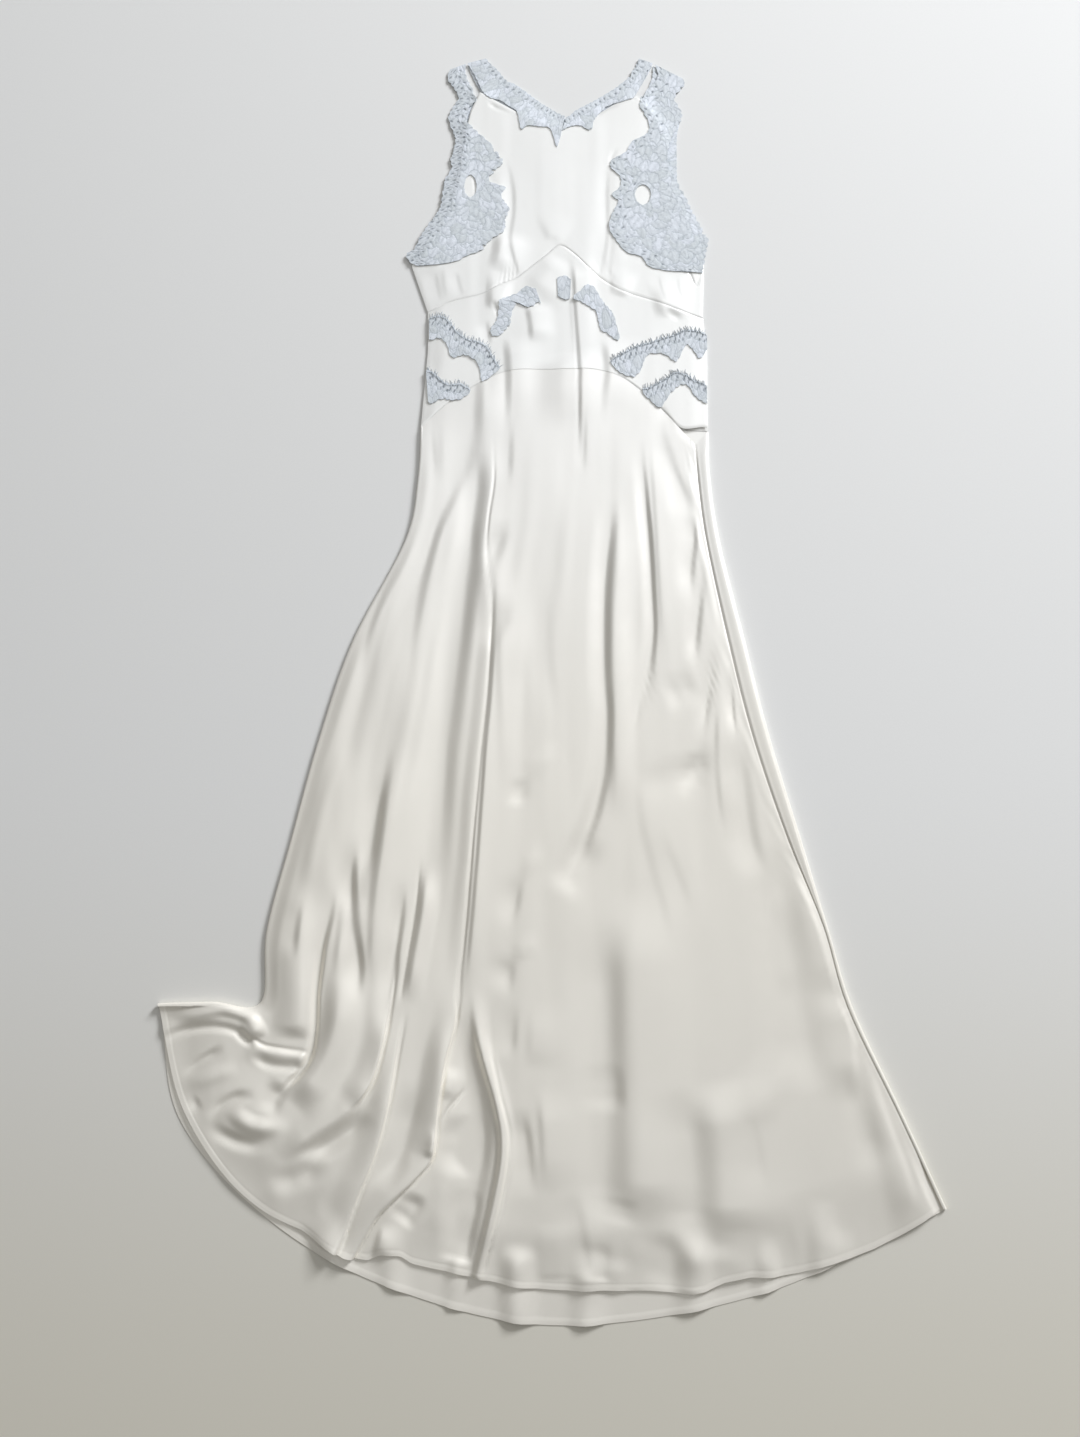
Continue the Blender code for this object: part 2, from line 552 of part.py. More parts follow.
def back_skirt_points():
    """Back skirt: flat on the surface, rolled over the right edge up to the side seam."""
    front = section_grid(FRONT_SECTIONS, SKIRT_ROWS)
    guides = section_grid(BACK_SECTIONS, SKIRT_ROWS)
    grid = np.zeros((SKIRT_ROWS + 1, BACK_COLUMNS + 8, 3))
    for i, row in enumerate(guides):
        row[0] = walk(front[i], np.array([ROLL_RETURN + 1.0]))[0]
        length = row_length(row)
        flat_run = (length - 9.0) * np.linspace(0, 1, BACK_COLUMNS + 1)
        grid[i, :BACK_COLUMNS + 1, :2] = walk(row, flat_run)
        grid[i, :BACK_COLUMNS + 1, 2] = BACK_MID
        edge = row[6]
        seam = front[i][6]
        across = seam - edge
        width = float(np.hypot(*across))
        unit = across / width
        inward = walk(row, np.array([length - 9.0]))[0] - edge
        inward = inward / np.hypot(*inward)
        full = min(width / 14.0, 1.0)
        top = EDGE_MID
        rim = BACK_COLUMNS + 1
        grid[i, rim, :2] = edge + inward * 2.4
        grid[i, rim, 2] = BACK_MID
        grid[i, rim + 1, :2] = edge + inward * 0.6
        grid[i, rim + 1, 2] = 1.75
        grid[i, rim + 2, :2] = edge + inward * 0.9
        grid[i, rim + 2, 2] = 3.2 + 0.4 * full
        near = min(2.4, 0.4 * width)
        far = width - 1.6
        stops = ((near, 0.9), (0.5 * (near + far), 1.2), (far, 0.0), (width - SEAM_GAP / 2, 0.0))
        for k, (run, bulge) in enumerate(stops):
            grid[i, rim + 3 + k, :2] = edge + unit * run
            grid[i, rim + 3 + k, 2] = top + bulge * full
    grid[0, BACK_COLUMNS + 3:, 1] -= 2 * SEAM_GAP
    return grid


def between(lines, steps):
    """Rows of points ruled between polylines that share their numbering."""
    rows = [lines[0]]
    for upper, lower, count in zip(lines[:-1], lines[1:], steps):
        for k in range(1, count + 1):
            rows.append(upper + (lower - upper) * k / count)
    return np.array(rows)


def lifted(grid, level):
    """Give a flat grid its heights."""
    return np.dstack([grid[..., 0], grid[..., 1], level])


def bust_ribs():
    """Ribs of the bust with one more between most pairs, as many as the yoke seam has points."""
    ribs = np.array(BUST_RIBS)
    stops = sorted(list(range(len(ribs))) + [k + 0.5 for k in range(28) if k % 2 == 0 or k in (13, 15)])
    return np.stack([np.interp(stops, range(len(ribs)), ribs[:, k]) for k in range(3)], axis=1)


def front_bust_points():
    """Bust panel between the neck and armhole edge and the seam below it."""
    ribs = bust_ribs()
    low = np.stack([ribs[:, 2], seam_height(ribs[:, 2]) + SEAM_GAP / 2], axis=1)
    grid = between([ribs[:, :2], low], [6])
    return lifted(grid, front_level(grid[..., 0], grid[..., 1]))


def front_midriff_points():
    """Midriff panel between the two seams."""
    ribs = bust_ribs()
    top = np.stack([ribs[:, 2], seam_height(ribs[:, 2]) - SEAM_GAP / 2], axis=1)
    share = (top[:, 0] - top[0, 0]) / (top[-1, 0] - top[0, 0])
    left, right, level = MIDRIFF_LEVEL
    middle = np.stack([left + (right - left) * share, np.full(len(share), level)], axis=1)
    yoke = section_grid(FRONT_SECTIONS, SKIRT_ROWS)[0]
    length = row_length(yoke)
    run = np.linspace(ROLL_RETURN, length - 2.0, FRONT_COLUMNS)
    low = walk(yoke, np.concatenate([[0.0], run, [length]]))
    low[:, 1] += SEAM_GAP / 2
    low = np.vstack([low, YOKE_CORNER])
    rise = (low[:, 1] - low[:, 1].min()) / 91.0
    middle[:, 1] = np.maximum(level, 0.5 * (top[:, 1] + low[:, 1]) - 20 * (1 - rise))
    grid = between([top, middle, low], [3, 3])
    return lifted(grid, front_level(grid[..., 0], grid[..., 1]))


def inset(ribs, picks):
    """Inner ends of lace ribs moved on by the seam gap."""
    points = []
    for k in picks:
        outer = np.array(ribs[k][:2])
        inner = np.array(ribs[k][2:])
        run = inner - outer
        points.append(inner + run / np.hypot(*run) * SEAM_GAP)
    return points


def back_bodice_points():
    """Back panel below the back lace, down to the waist."""
    left_end = np.array(BACK_LEFT[-1])
    right_end = np.array(BACK_RIGHT[-1])
    top = [left_end[:2] + (0.0, -0.5), left_end[2:] + (0.4, -0.5)]
    top += inset(BACK_LEFT, range(len(BACK_LEFT) - 2, 2, -1))
    top += [np.array((-77.0, 1447.0))]
    top += inset(BACK_NECK, range(3, len(BACK_NECK) - 2))
    top += [np.array((113.5, 1447.0))]
    right = np.array(BACK_RIGHT)[:, [2, 3, 0, 1]]
    top += inset(right, range(3, len(right) - 1))
    top += [right_end[:2] + (-0.4, -0.5), right_end[2:] + (0.0, -0.5)]
    top = np.array(top)
    run = np.abs(np.diff(top[:, 0])) + 0.35 * np.abs(np.diff(top[:, 1]))
    share = np.concatenate([[0.0], np.cumsum(run)])
    share = share / share[-1]
    bust = np.stack([-139.5 + (191.5 + 139.5) * share, np.full(len(share), 1165.0)], axis=1)
    left, right, level = MIDRIFF_LEVEL
    middle = np.stack([left + (right - left) * share, np.full(len(share), level)], axis=1)
    x0, x1, y0, y1 = BACK_WAIST
    waist = np.stack([x0 + (x1 - x0) * share, y0 + (y1 - y0) * share], axis=1)
    grid = between([top, bust, middle, waist], [3, 1, 2])
    return lifted(grid, np.full(grid.shape[:2], BACK_MID))


def lace_grid(ribs, across):
    """Flat grid of a lace piece from its ribs."""
    ribs = np.array(ribs)
    steps = np.linspace(0, 1, across + 1)[None, :, None]
    return ribs[:, None, :2] + (ribs[:, None, 2:] - ribs[:, None, :2]) * steps


def trees(pieces):
    """Search trees of finished pieces to rest others on."""
    graph = bpy.context.evaluated_depsgraph_get()
    return [BVHTree.FromObject(piece, graph) for piece in pieces]


def ground(below, x, y, reach, spokes=8):
    """Highest cloth below a spot and on a ring round it, in millimetres."""
    best = 0.0
    turns = [k * 2 * math.pi / spokes for k in range(spokes)]
    for dx, dy in [(0.0, 0.0)] + [(math.cos(turn), math.sin(turn)) for turn in turns]:
        start = Vector(((x + dx * reach - ORIGIN[0]) * MM, (y + dy * reach - ORIGIN[1]) * MM, 0.2))
        for tree in below:
            hit = tree.ray_cast(start, Vector((0, 0, -1)))[0]
            if hit is not None:
                best = max(best, hit.z / MM)
    return best


def rest_on(grid, below, clear):
    """Lay a flat grid on the cloth below it, its underside clear of every facet."""
    rows, columns = grid.shape[:2]
    lift = clear + LACE_WALL / 2 + LACE_EASE
    rings = (2, 5, 8, 11, 14)
    level = np.array([[max(ground(below, x, y, ring, 16) for ring in rings) + lift for x, y in row] for row in grid])
    shares = (0.0, 0.25, 0.5, 0.75, 1.0)
    for _ in range(2):
        for i in range(rows - 1):
            for j in range(columns - 1):
                corners = ((i, j), (i + 1, j), (i, j + 1), (i + 1, j + 1))
                for a in shares:
                    for b in shares:
                        weights = ((1 - a) * (1 - b), a * (1 - b), (1 - a) * b, a * b)
                        spot = sum(w * grid[c] for w, c in zip(weights, corners))
                        have = sum(w * level[c] for w, c in zip(weights, corners))
                        need = ground(below, spot[0], spot[1], 0.8) + lift
                        for c in corners:
                            level[c] += max(need - have, 0.0)
    return lifted(grid, level)


def build():
    """Make every piece of the dress."""
    clear_scene()
    home = collection(NAME)
    satin = []
    satin.append(sheet("back_skirt", back_skirt_points(), SATIN_WALL, SATIN_IVORY, 0.35, home))
    satin.append(sheet("back_bodice", back_bodice_points(), SATIN_WALL, SATIN_IVORY, 0.35, home))
    under = []
    for name, ribs in (("lace_back_left", BACK_LEFT), ("lace_back_right", BACK_RIGHT), ("lace_back_neck", BACK_NECK)):
        grid = lace_grid(ribs, 3)
        flat = lifted(grid, np.full(grid.shape[:2], LACE_WALL / 2))
        under.append(sheet(name, flat, LACE_WALL, LACE_BLUE, 0.8, home))
    satin.append(sheet("front_skirt", front_skirt_points(), SATIN_WALL, SATIN_IVORY, 0.35, home))
    satin.append(sheet("front_midriff", front_midriff_points(), SATIN_WALL, SATIN_LIGHT, 0.35, home))
    satin.append(sheet("front_bust", front_bust_points(), SATIN_WALL, SATIN_LIGHT, 0.35, home))
    bpy.context.view_layer.update()
    below = trees(satin + under)
    laces = (
        ("lace_neck_left", NECK_LEFT, 3), ("lace_neck_right", NECK_RIGHT, 3),
        ("lace_arm_left", ARM_LEFT, 7), ("lace_arm_right", ARM_RIGHT, 7),
        ("lace_midriff_left", MOTIF_LEFT, 3), ("lace_midriff_centre", MOTIF_CENTRE, 3),
        ("lace_midriff_right", MOTIF_RIGHT, 3),
        ("lace_waist_left_upper", WAIST_LEFT_UPPER, 3), ("lace_waist_left_lower", WAIST_LEFT_LOWER, 3),
        ("lace_waist_right_upper", WAIST_RIGHT_UPPER, 3), ("lace_waist_right_lower", WAIST_RIGHT_LOWER, 3),
    )
    for name, ribs, across in laces:
        points = rest_on(lace_grid(ribs, across), below, PLY_GAP)
        skip = None
        if name in HOLES:
            cx, cy, rx, ry = HOLES[name]
            cx -= ORIGIN[0]
            cy -= ORIGIN[1]

            def skip(centre, cx=cx, cy=cy, rx=rx, ry=ry):
                return ((centre.x - cx) / rx) ** 2 + ((centre.y - cy) / ry) ** 2 < 1
        sheet(name, points, LACE_WALL, LACE_BLUE, 0.8, home, skip)


build()
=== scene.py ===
import math

import bmesh
import bpy
import numpy as np
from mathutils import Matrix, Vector
from mathutils.bvhtree import BVHTree

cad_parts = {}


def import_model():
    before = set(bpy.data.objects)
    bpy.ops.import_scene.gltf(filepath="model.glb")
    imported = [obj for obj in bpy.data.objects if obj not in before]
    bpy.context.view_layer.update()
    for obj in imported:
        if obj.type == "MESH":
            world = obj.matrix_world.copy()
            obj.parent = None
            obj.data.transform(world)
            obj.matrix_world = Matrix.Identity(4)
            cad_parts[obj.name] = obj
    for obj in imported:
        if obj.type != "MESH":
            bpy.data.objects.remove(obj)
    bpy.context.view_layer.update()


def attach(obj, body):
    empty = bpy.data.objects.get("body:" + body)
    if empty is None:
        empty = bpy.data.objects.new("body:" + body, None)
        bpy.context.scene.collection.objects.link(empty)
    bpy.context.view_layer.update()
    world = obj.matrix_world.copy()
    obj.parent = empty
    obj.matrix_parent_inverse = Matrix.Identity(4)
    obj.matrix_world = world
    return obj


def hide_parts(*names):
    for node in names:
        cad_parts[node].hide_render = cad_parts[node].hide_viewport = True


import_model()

MM = 0.001

# Main sizes in millimetres. The tables are in millimetres too, x across the dress and y up from the back hem;
# CORNER is where the frame's origin lies in them.
CORNER = (5.6, 747.7)
SATIN_WALL = 0.5
LACE_WALL = 0.55
# The front's height at rest, the air under bodice and skirt, and the least height over the surface. The
# skirt's air begins at the waist level and grows over the run below it.
FRONT_REST = 2.1
BODICE_AIR = 1.0
SKIRT_AIR = 4.6
FLOOR_GAP = 1.4
WAIST_LEVEL = 1110
AIR_EASE = 240
# A crease at the foot of a fold that leans over: its width and depth. Hollows are sharper than ridges.
CREASE_WIDTH = 1.8
CREASE_DEPTH = 1.1
HOLLOW_SHARP = 1.4
# The left edge is rolled under: its radius, how much it grows toward the hem, the run that comes back under
# it, and how far past its crest the open cloth starts.
EDGE_ROUND = 2.0
EDGE_GROWTH = 2.6
ROLL_RETURN = 7.0
ROLL_CLEAR = 0.6
# The right side seam: its height, and how much more it has where the folds run into it, from the top level
# down to the low one.
EDGE_REST = 3.9
SEAM_RISE = 2.4
SEAM_TOP = 980.0
SEAM_LOW = 135.0
# The back's cloth comes up to that seam round the right edge: it is flat up to this run before the edge, and
# then rises with a crown, which is full from this width on.
ROLL_RUN = 6.0
ROLL_CROWN = 1.5
ROLL_FULL = 14.0
# All seams are a small gap. The yoke seam shows at its sides, and over its middle the cloth runs on unbroken:
# x of the middle, half the unbroken run, and the run over which the seam comes in.
SEAM_GAP = 0.2
YOKE_MIDDLE = 20
YOKE_OPEN = 55
YOKE_EASE = 30
# The hem is turned up and stitched. Cloth this near to it settles onto the surface.
HEM_WIDTH = 6.0
HEM_SETTLE = 70
# Rows of the skirts: how many between one level and the next, and those of the turned hem, which are shares
# of a level up from its edge.
FRONT_ROWS = (6, 9, 11, 11, 12, 14, 19, 40, 40)
BACK_ROWS = (4, 8, 10, 10, 10, 14, 18, 26, 34)
HEM_ROWS = (0.105, 0.085, 0.072, 0.064, 0.056, 0.040, 0.022, 0.008, 0.0)
# Columns of the skirts: open cloth of front and back, the rolled left edge, the bend and rise at the right.
FRONT_COLUMNS = 262
BACK_COLUMNS = 136
EDGE_COLUMNS = 13
BEND_COLUMNS = 12
RISE_COLUMNS = 18
# Columns and rows of the bodice: the midriff's rows are those of each half, the back's those of its three
# parts.
BUST_COLUMNS = 191
BUST_ROWS = 112
MIDRIFF_COLUMNS = 181
MIDRIFF_ROWS = 45
BODICE_COLUMNS = 90
BODICE_ROWS = (30, 8, 12)
# Lace lies this far above what it rests on, and settles over steps in so many rounds. Rays that look for the
# cloth start at this height, in metres.
LACE_CLEAR = 0.35
LACE_SETTLE = 320
RAY_START = 0.2
# Picots, the loose ends along the waist bands: their pitch, half a picot's width at its foot, and the least
# and the most length.
PICOT_PITCH = 1.6
PICOT_HALF = 0.5
PICOT_LONG = (3.0, 7.0)
# Light: one big window to the upper right, low; its light thrown back by the ceiling; a pale warm room.
KEY_PLACE = (3.6, 3.9, 2.3)
KEY_SIZE = 1.6
KEY_POWER = 430.0
CEILING = (((0.6, 1.7, 2.6), (2.2, 2.4), 15.0), ((-0.1, -0.5, 2.6), (2.4, 2.0), 8.0))
ROOM_LIGHT = 0.21
FLOOR_SIZE = 14.0
# Camera: nearly straight above the dress, a little below its middle and tilted up it.
CAMERA_PLACE = (-0.0102, -0.2184, 1.389)
CAMERA_TILT = 6.0
LENS = 30.0
SENSOR = 36.0

# Front skirt, one row a level: x and y on seven guides from the left edge to the right side seam.
FRONT_SECTIONS = (
    ("yoke", -147, 1024, -111, 1057, -51, 1092, 13, 1096, 77, 1093, 127, 1061, 180, 1003),
    ("hip", -150, 962, -109, 972, -52, 982, 13, 984, 76, 984, 132, 977, 183, 966),
    ("seat", -164, 887, -113, 890, -54, 892, 12, 893, 78, 892, 137, 890, 192, 887),
    ("thigh", -224, 767, -159, 765, -83, 764, 1, 764, 83, 765, 154, 767, 215, 771),
    ("knee", -262, 650, -188, 644, -100, 641, -3, 641, 89, 644, 172, 650, 242, 656),
    ("calf", -291, 537, -209, 525, -113, 519, -7, 518, 98, 523, 193, 532, 279, 540),
    ("shin", -317, 432, -233, 409, -130, 404, -14, 402, 103, 407, 215, 421, 319, 438),
    ("turn", -322, 351, -256, 309, -149, 292, -18, 289, 108, 296, 228, 315, 345, 345),
    ("flare", -377, 352, -322, 254, -218, 199, -72, 167, 85, 156, 242, 188, 398, 230),
    ("hem", -438, 350, -403, 227, -315, 124, -166, 74, 18, 38, 229, 62, 445, 125),
)
# Back skirt, the same levels from the left edge to the right silhouette.
BACK_SECTIONS = (
    ("waist", -143, 1031, -110, 1030, -52, 1028, 13, 1026, 77, 1024, 139, 1022, 196, 1020),
    ("hip", -150, 963, -109, 973, -52, 983, 13, 985, 77, 985, 144, 978, 197, 967),
    ("seat", -164, 888, -114, 890, -54, 893, 12, 894, 78, 893, 142, 890, 207, 888),
    ("thigh", -224, 768, -160, 766, -83, 764, 1, 764, 83, 766, 162, 768, 234, 771),
    ("knee", -263, 650, -188, 644, -100, 641, -3, 641, 94, 644, 184, 650, 261, 656),
    ("calf", -292, 537, -210, 525, -113, 519, -7, 518, 101, 523, 205, 532, 294, 540),
    ("shin", -317, 432, -233, 409, -130, 404, -14, 401, 106, 407, 222, 421, 323, 437),
    ("turn", -321, 351, -256, 309, -150, 292, -18, 287, 111, 292, 231, 311, 350, 344),
    ("flare", -378, 352, -324, 252, -218, 193, -72, 150, 85, 136, 242, 168, 402, 229),
    ("hem", -439, 350, -410, 221, -312, 116, -177, 42, 12, 0, 240, 33, 449, 124),
)
# Folds of the skirt: what it is, rise, width of its left slope, of its right slope, lean, fade in, fade out,
# then its line from top to bottom.
SKIRT_FOLDS = (
    ("left edge hollow", -2.8, 38, 13, 0, 0.3, 0.35,
     -172, 881, -186, 848, -198, 813, -206, 784, -212, 753, -217, 708),
    ("left hip ridge", 1.26, 16, 56, 0, 0.3, 0.4,
     -142, 911, -158, 863, -171, 815, -186, 767, -200, 697, -219, 627),
    ("hip hollow", -3.2, 56, 13, 0, 0.25, 0.3,
     -72, 1052, -80, 1019, -90, 990, -102, 962, -115, 933, -130, 899, -141, 856, -150, 810, -157, 755, -163,
     697),
    ("hip ridge", 1.44, 16, 56, 0, 0.3, 0.3,
     -88, 972, -97, 923, -108, 863, -115, 803, -126, 732, -139, 650, -152, 580, -163, 511),
    ("long ridge left", 2.16, 24, 56, 0, 0.3, 0.3,
     -136, 767, -149, 697, -162, 627, -177, 546, -190, 477, -194, 410),
    ("main valley", -6.2, 48, 24, 0, 0.12, 0.3,
     -78, 1001, -82, 960, -85, 921, -88, 887, -93, 851, -97, 813, -102, 755, -109, 697, -116, 627, -121, 546,
     -126, 466, -130, 398),
    ("main roll", 1.8, 15, 36, 0, 0.2, 0.15,
     -69, 1033, -69, 935, -73, 895, -68, 852, -65, 814, -64, 766, -69, 719, -75, 650, -82, 592, -87, 523,
     -95, 432, -103, 354),
    ("main crevice", -1, 3.6, 3.4, 0, 0.2, 0.3,
     -61, 1009, -59, 960, -65, 916, -67, 876, -61, 815, -62, 767, -66, 708, -74, 627, -82, 534),
    ("main crevice low", -1.7, 3.4, 3.2, 0, 0.4, 0.15,
     -66, 708, -74, 627, -82, 534, -87, 466, -92, 410, -99, 354, -97, 320),
    ("centre panel edge", 2.6, 6, 50, 0, 0.25, 0.2,
     -53, 863, -55, 791, -58, 720, -65, 638, -71, 546, -77, 466, -82, 410, -89, 354),
    ("lower left streak a", -3.6, 29, 12, 0, 0.35, 0.35, -186, 609, -193, 569, -199, 523, -204, 483),
    ("lower left ridge a", 3.42, 12, 51, 0, 0.3, 0.3,
     -169, 650, -176, 592, -183, 523, -190, 466, -192, 410, -193, 370),
    ("lower left streak b", -6, 29, 11, 0, 0.3, 0.3, -220, 540, -222, 489, -219, 443, -212, 398, -213, 348),
    ("lower left ridge b", 3.15, 10, 45, 0, 0.35, 0.35, -228, 477, -228, 432, -234, 376),
    ("lower left streak c", -4.5, 22, 8, 0, 0.3, 0.2, -162, 489, -165, 443, -170, 404, -177, 354, -182, 309),
    ("lower left ridge c", 5, 10, 18, 0.1, 0.3, 0.3, -133, 511, -137, 455, -146, 398, -154, 348),
    ("edge streak", -2.5, 22, 9, 0, 0.35, 0.35, -280, 466, -284, 432, -287, 398),
    ("outer left ridge", 2.7, 20, 56, 0, 0.3, 0.4, -225, 650, -247, 580, -262, 511, -272, 443),
    ("long thin streak", -2.5, 19, 8, 0, 0.3, 0.3, -242, 489, -245, 449, -253, 410, -257, 354),
    ("centre hollow", -4, 24, 12, 0, 0.2, 0.25,
     82, 940, 77, 895, 71, 838, 69, 766, 70, 714, 72, 681, 70, 627, 62, 580, 48, 539, 32, 505, 14, 480),
    ("centre ridge", 2.4, 13, 26, 0, 0.25, 0.2, 93, 948, 89, 863, 84, 779, 85, 697, 86, 615, 82, 557),
    ("centre fork", -3.4, 44, 30, 0, 0.4, 0.35, 62, 539, 48, 516, 32, 491, 21, 473),
    ("right crease", -3, 16, 7, 0, 0.3, 0.35,
     112, 1019, 117, 969, 121, 921, 124, 882, 126, 838, 128, 785, 125, 747, 118, 713, 107, 679, 101, 644),
    ("right crease ridge", 0.9, 7, 34, 0, 0.2, 0.3, 129, 1009, 134, 935, 137, 863, 140, 791, 138, 744),
    ("right crease left ridge", 0.54, 16, 38, 0, 0.3, 0.3, 103, 1009, 107, 935, 111, 863, 113, 791, 112, 744),
    ("right hollow", -1.6, 34, 9, 0, 0.25, 0.35, 133, 1033, 147, 990, 160, 955, 174, 926, 181, 906),
    ("right hollow tail", -2.6, 26, 7, 0, 0.2, 0.4, 178, 917, 176, 881, 172, 845, 169, 815),
    ("side streak a", -2.6, 19, 7, 0, 0.35, 0.35, 191, 869, 183, 815, 177, 767, 171, 738),
    ("side streak b", -2.6, 16, 6, 0, 0.35, 0.35, 204, 761, 196, 726, 189, 691, 182, 656),
    ("side ridge a", 1.98, 8, 29, 0, 0.35, 0.35, 208, 708, 204, 650, 206, 592, 212, 534),
    ("side streak c", -3, 40, 18, 0, 0.3, 0.3, 222, 656, 227, 609, 232, 563, 239, 523, 252, 486),
    ("side streak d", -2, 13, 4, 0, 0.35, 0.3, 221, 732, 219, 697, 220, 656),
    ("side wedge", -4, 50, 40, 0, 0.2, 0.25, 262, 532, 269, 472, 276, 415, 284, 354, 291, 298, 297, 248),
    ("side wedge crest", 3.6, 46, 14, 0, 0.3, 0.3, 281, 523, 296, 477, 312, 432, 326, 393, 334, 354),
    ("side wedge ridge", 1.08, 18, 38, 0, 0.3, 0.3, 266, 489, 270, 443, 273, 393, 275, 354),
    ("dimple a", -2.8, 26, 17, 0, 0.35, 0.35, -47, 904, -58, 877, -69, 851),
    ("dimple b", -2.6, 30, 19, 0, 0.35, 0.35, -40, 808, -53, 784, -67, 755),
    ("dimple c", -3, 10, 9, 0, 0.45, 0.45, -9, 596, -30, 588, -48, 584),
    ("swell c", 1.6, 12, 12, 0, 0.45, 0.45, 19, 636, -5, 624, -28, 613),
    ("swell d", 1.2, 14, 14, 0, 0.45, 0.45, 1, 523, -14, 509, -28, 498),
    ("dimple d", -2.2, 38, 12, 0, 0.45, 0.45, -28, 498, -34, 466, -41, 432),
    ("swell e", 1.4, 13, 12, 0, 0.45, 0.45, -5, 421, -21, 412, -39, 404),
    ("dimple e", -2.2, 35, 11, 0, 0.45, 0.45, -34, 404, -41, 382, -45, 359),
    ("dimple f", -2, 50, 18, 0, 0.4, 0.35, 102, 594, 132, 607, 167, 616, 199, 622),
    ("dimple g", -3.6, 14, 13, 0, 0.45, 0.45, 199, 636, 176, 617, 153, 592),
    ("dimple h", -2.2, 26, 20, 0, 0.4, 0.4, 138, 697, 159, 708, 180, 718),
    ("faint streak a", -1, 38, 16, 0, 0.4, 0.4, 1, 827, 1, 755, 7, 673),
    ("faint streak b", -0.9, 45, 14, 0, 0.4, 0.4, 129, 546, 147, 500, 167, 443),
    ("faint ridge b", 1.08, 14, 51, 0, 0.4, 0.4, 111, 627, 122, 546, 142, 466, 159, 398),
    ("panel streak top", -1.4, 29, 10, 0, 0.2, 0.4, -44, 1021, -43, 990, -44, 954),
    ("panel streak mid", -1, 12, 7, 0, 0.3, 0.3, 46, 1033, 47, 1003, 43, 972),
    ("panel streak long", -0.8, 45, 18, 0, 0.4, 0.4, -26, 767, -28, 697, -32, 627),
    ("left swell", 1.44, 12, 56, 0, 0.3, 0.4, -52, 863, -48, 767, -45, 673, -42, 580),
    ("low centre hollow", -3.8, 56, 42, 0, 0.22, 0.12, 61, 449, 64, 376, 66, 309, 67, 254, 67, 189, 64, 96),
    ("low centre ridge", 5.2, 44, 88, 0, 0.25, 0.12,
     100, 483, 104, 410, 106, 331, 109, 254, 110, 189, 108, 105),
    ("low centre pit", -1.8, 56, 18, 0, 0.4, 0.4, 77, 287, 79, 254, 79, 226),
    ("low pocket", -1.2, 56, 20, 0, 0.45, 0.45, 94, 139, 91, 122, 87, 105),
    ("low right hollow", -3.4, 56, 40, 0, 0.3, 0.2, 153, 260, 161, 200, 165, 145, 162, 92),
    ("low right ridge", 4.8, 42, 100, 0, 0.25, 0.25, 189, 267, 200, 200, 204, 145, 201, 86),
    ("hem notch", -2.2, 44, 34, 0, 0.4, 0.3, 142, 105, 138, 77, 134, 45),
    ("hem notch lip", 2.6, 34, 60, 0, 0.4, 0.2, 175, 100, 171, 73, 168, 41),
    ("low left hollow", -2.6, 35, 12, 0, 0.35, 0.35, -27, 238, -20, 189, -14, 135),
    ("low left ridge", 2.16, 10, 51, 0, 0.35, 0.35, -2, 260, 2, 200, 4, 140),
    ("low left ridge head", 1.35, 12, 51, 0, 0.4, 0.4, -9, 354, -11, 309, -14, 276),
    ("low left hollow head", -1.6, 32, 10, 0, 0.4, 0.4, -35, 354, -37, 315, -38, 287),
    ("hem streak", -1.6, 38, 12, 0, 0.35, 0.15, 33, 145, 40, 97, 49, 49),
    ("hem streak two", -1.2, 32, 10, 0, 0.35, 0.15, 69, 92, 66, 68, 64, 47),
    ("hem swell", 0.72, 16, 56, 0, 0.35, 0.1, 1, 113, 2, 81, 4, 49),
    ("hem swell two", 0.63, 16, 56, 0, 0.35, 0.1, 107, 97, 104, 68, 102, 39),
    ("right plateau", 2, 40, 60, 0, 0.45, 0.45, 215, 276, 243, 254, 276, 232),
    ("right low ridge", 3.4, 46, 14, 0, 0.35, 0.35, 334, 370, 340, 331, 344, 287, 347, 238),
    ("right low hollow", -2.4, 36, 26, 0, 0.35, 0.35, 352, 287, 358, 243, 365, 200, 375, 151),
    ("right low crest", 2.8, 30, 12, 0, 0.35, 0.35, 357, 298, 369, 252, 386, 202, 402, 156, 412, 128),
    ("right hem swell", 0.36, 22, 56, 0, 0.4, 0.2, 314, 124, 324, 97, 331, 76),
    ("right hem hollow", -0.7, 45, 14, 0, 0.4, 0.1, 263, 129, 273, 92, 284, 62),
    ("right hem streak", -1, 38, 12, 0, 0.4, 0.4, 227, 238, 237, 189, 243, 140),
    ("fold e", 5.5, 34, 20, 0, 0.35, 0.1, -275, 489, -277, 443, -278, 398, -277, 354, -278, 309),
    ("fold e crevice", -5, 9, 7, 0, 0.3, 0.2,
     -244, 460, -253, 410, -258, 365, -259, 326, -262, 298, -271, 278, -286, 261, -302, 243),
    ("fold e lip", 2.4, 22, 7, 0.3, 0.3, 0.1, -337, 309, -319, 298, -294, 293, -265, 289),
    ("fold d body", 6.5, 22, 40, 0, 0.3, 0.25, -227, 398, -231, 343, -242, 298, -259, 265, -284, 239),
    ("fold d edge", 6, 30, 4.5, 0.3, 0.3, 0.3,
     -169, 410, -176, 354, -184, 309, -193, 274, -205, 250, -218, 234),
    ("fold d edge low", 5, 30, 13, 0, 0.4, 0.3,
     -190, 285, -204, 252, -224, 230, -255, 210, -275, 196, -297, 179),
    ("fold c edge", 5.5, 30, 4.5, 0.3, 0.35, 0.05,
     -159, 345, -166, 309, -175, 252, -183, 213, -196, 172, -213, 134, -230, 99, -242, 77),
    ("fold b edge", 7.5, 26, 4.5, 0.3, 0.35, 0.3,
     -97, 398, -103, 331, -114, 287, -121, 243, -125, 203, -128, 181),
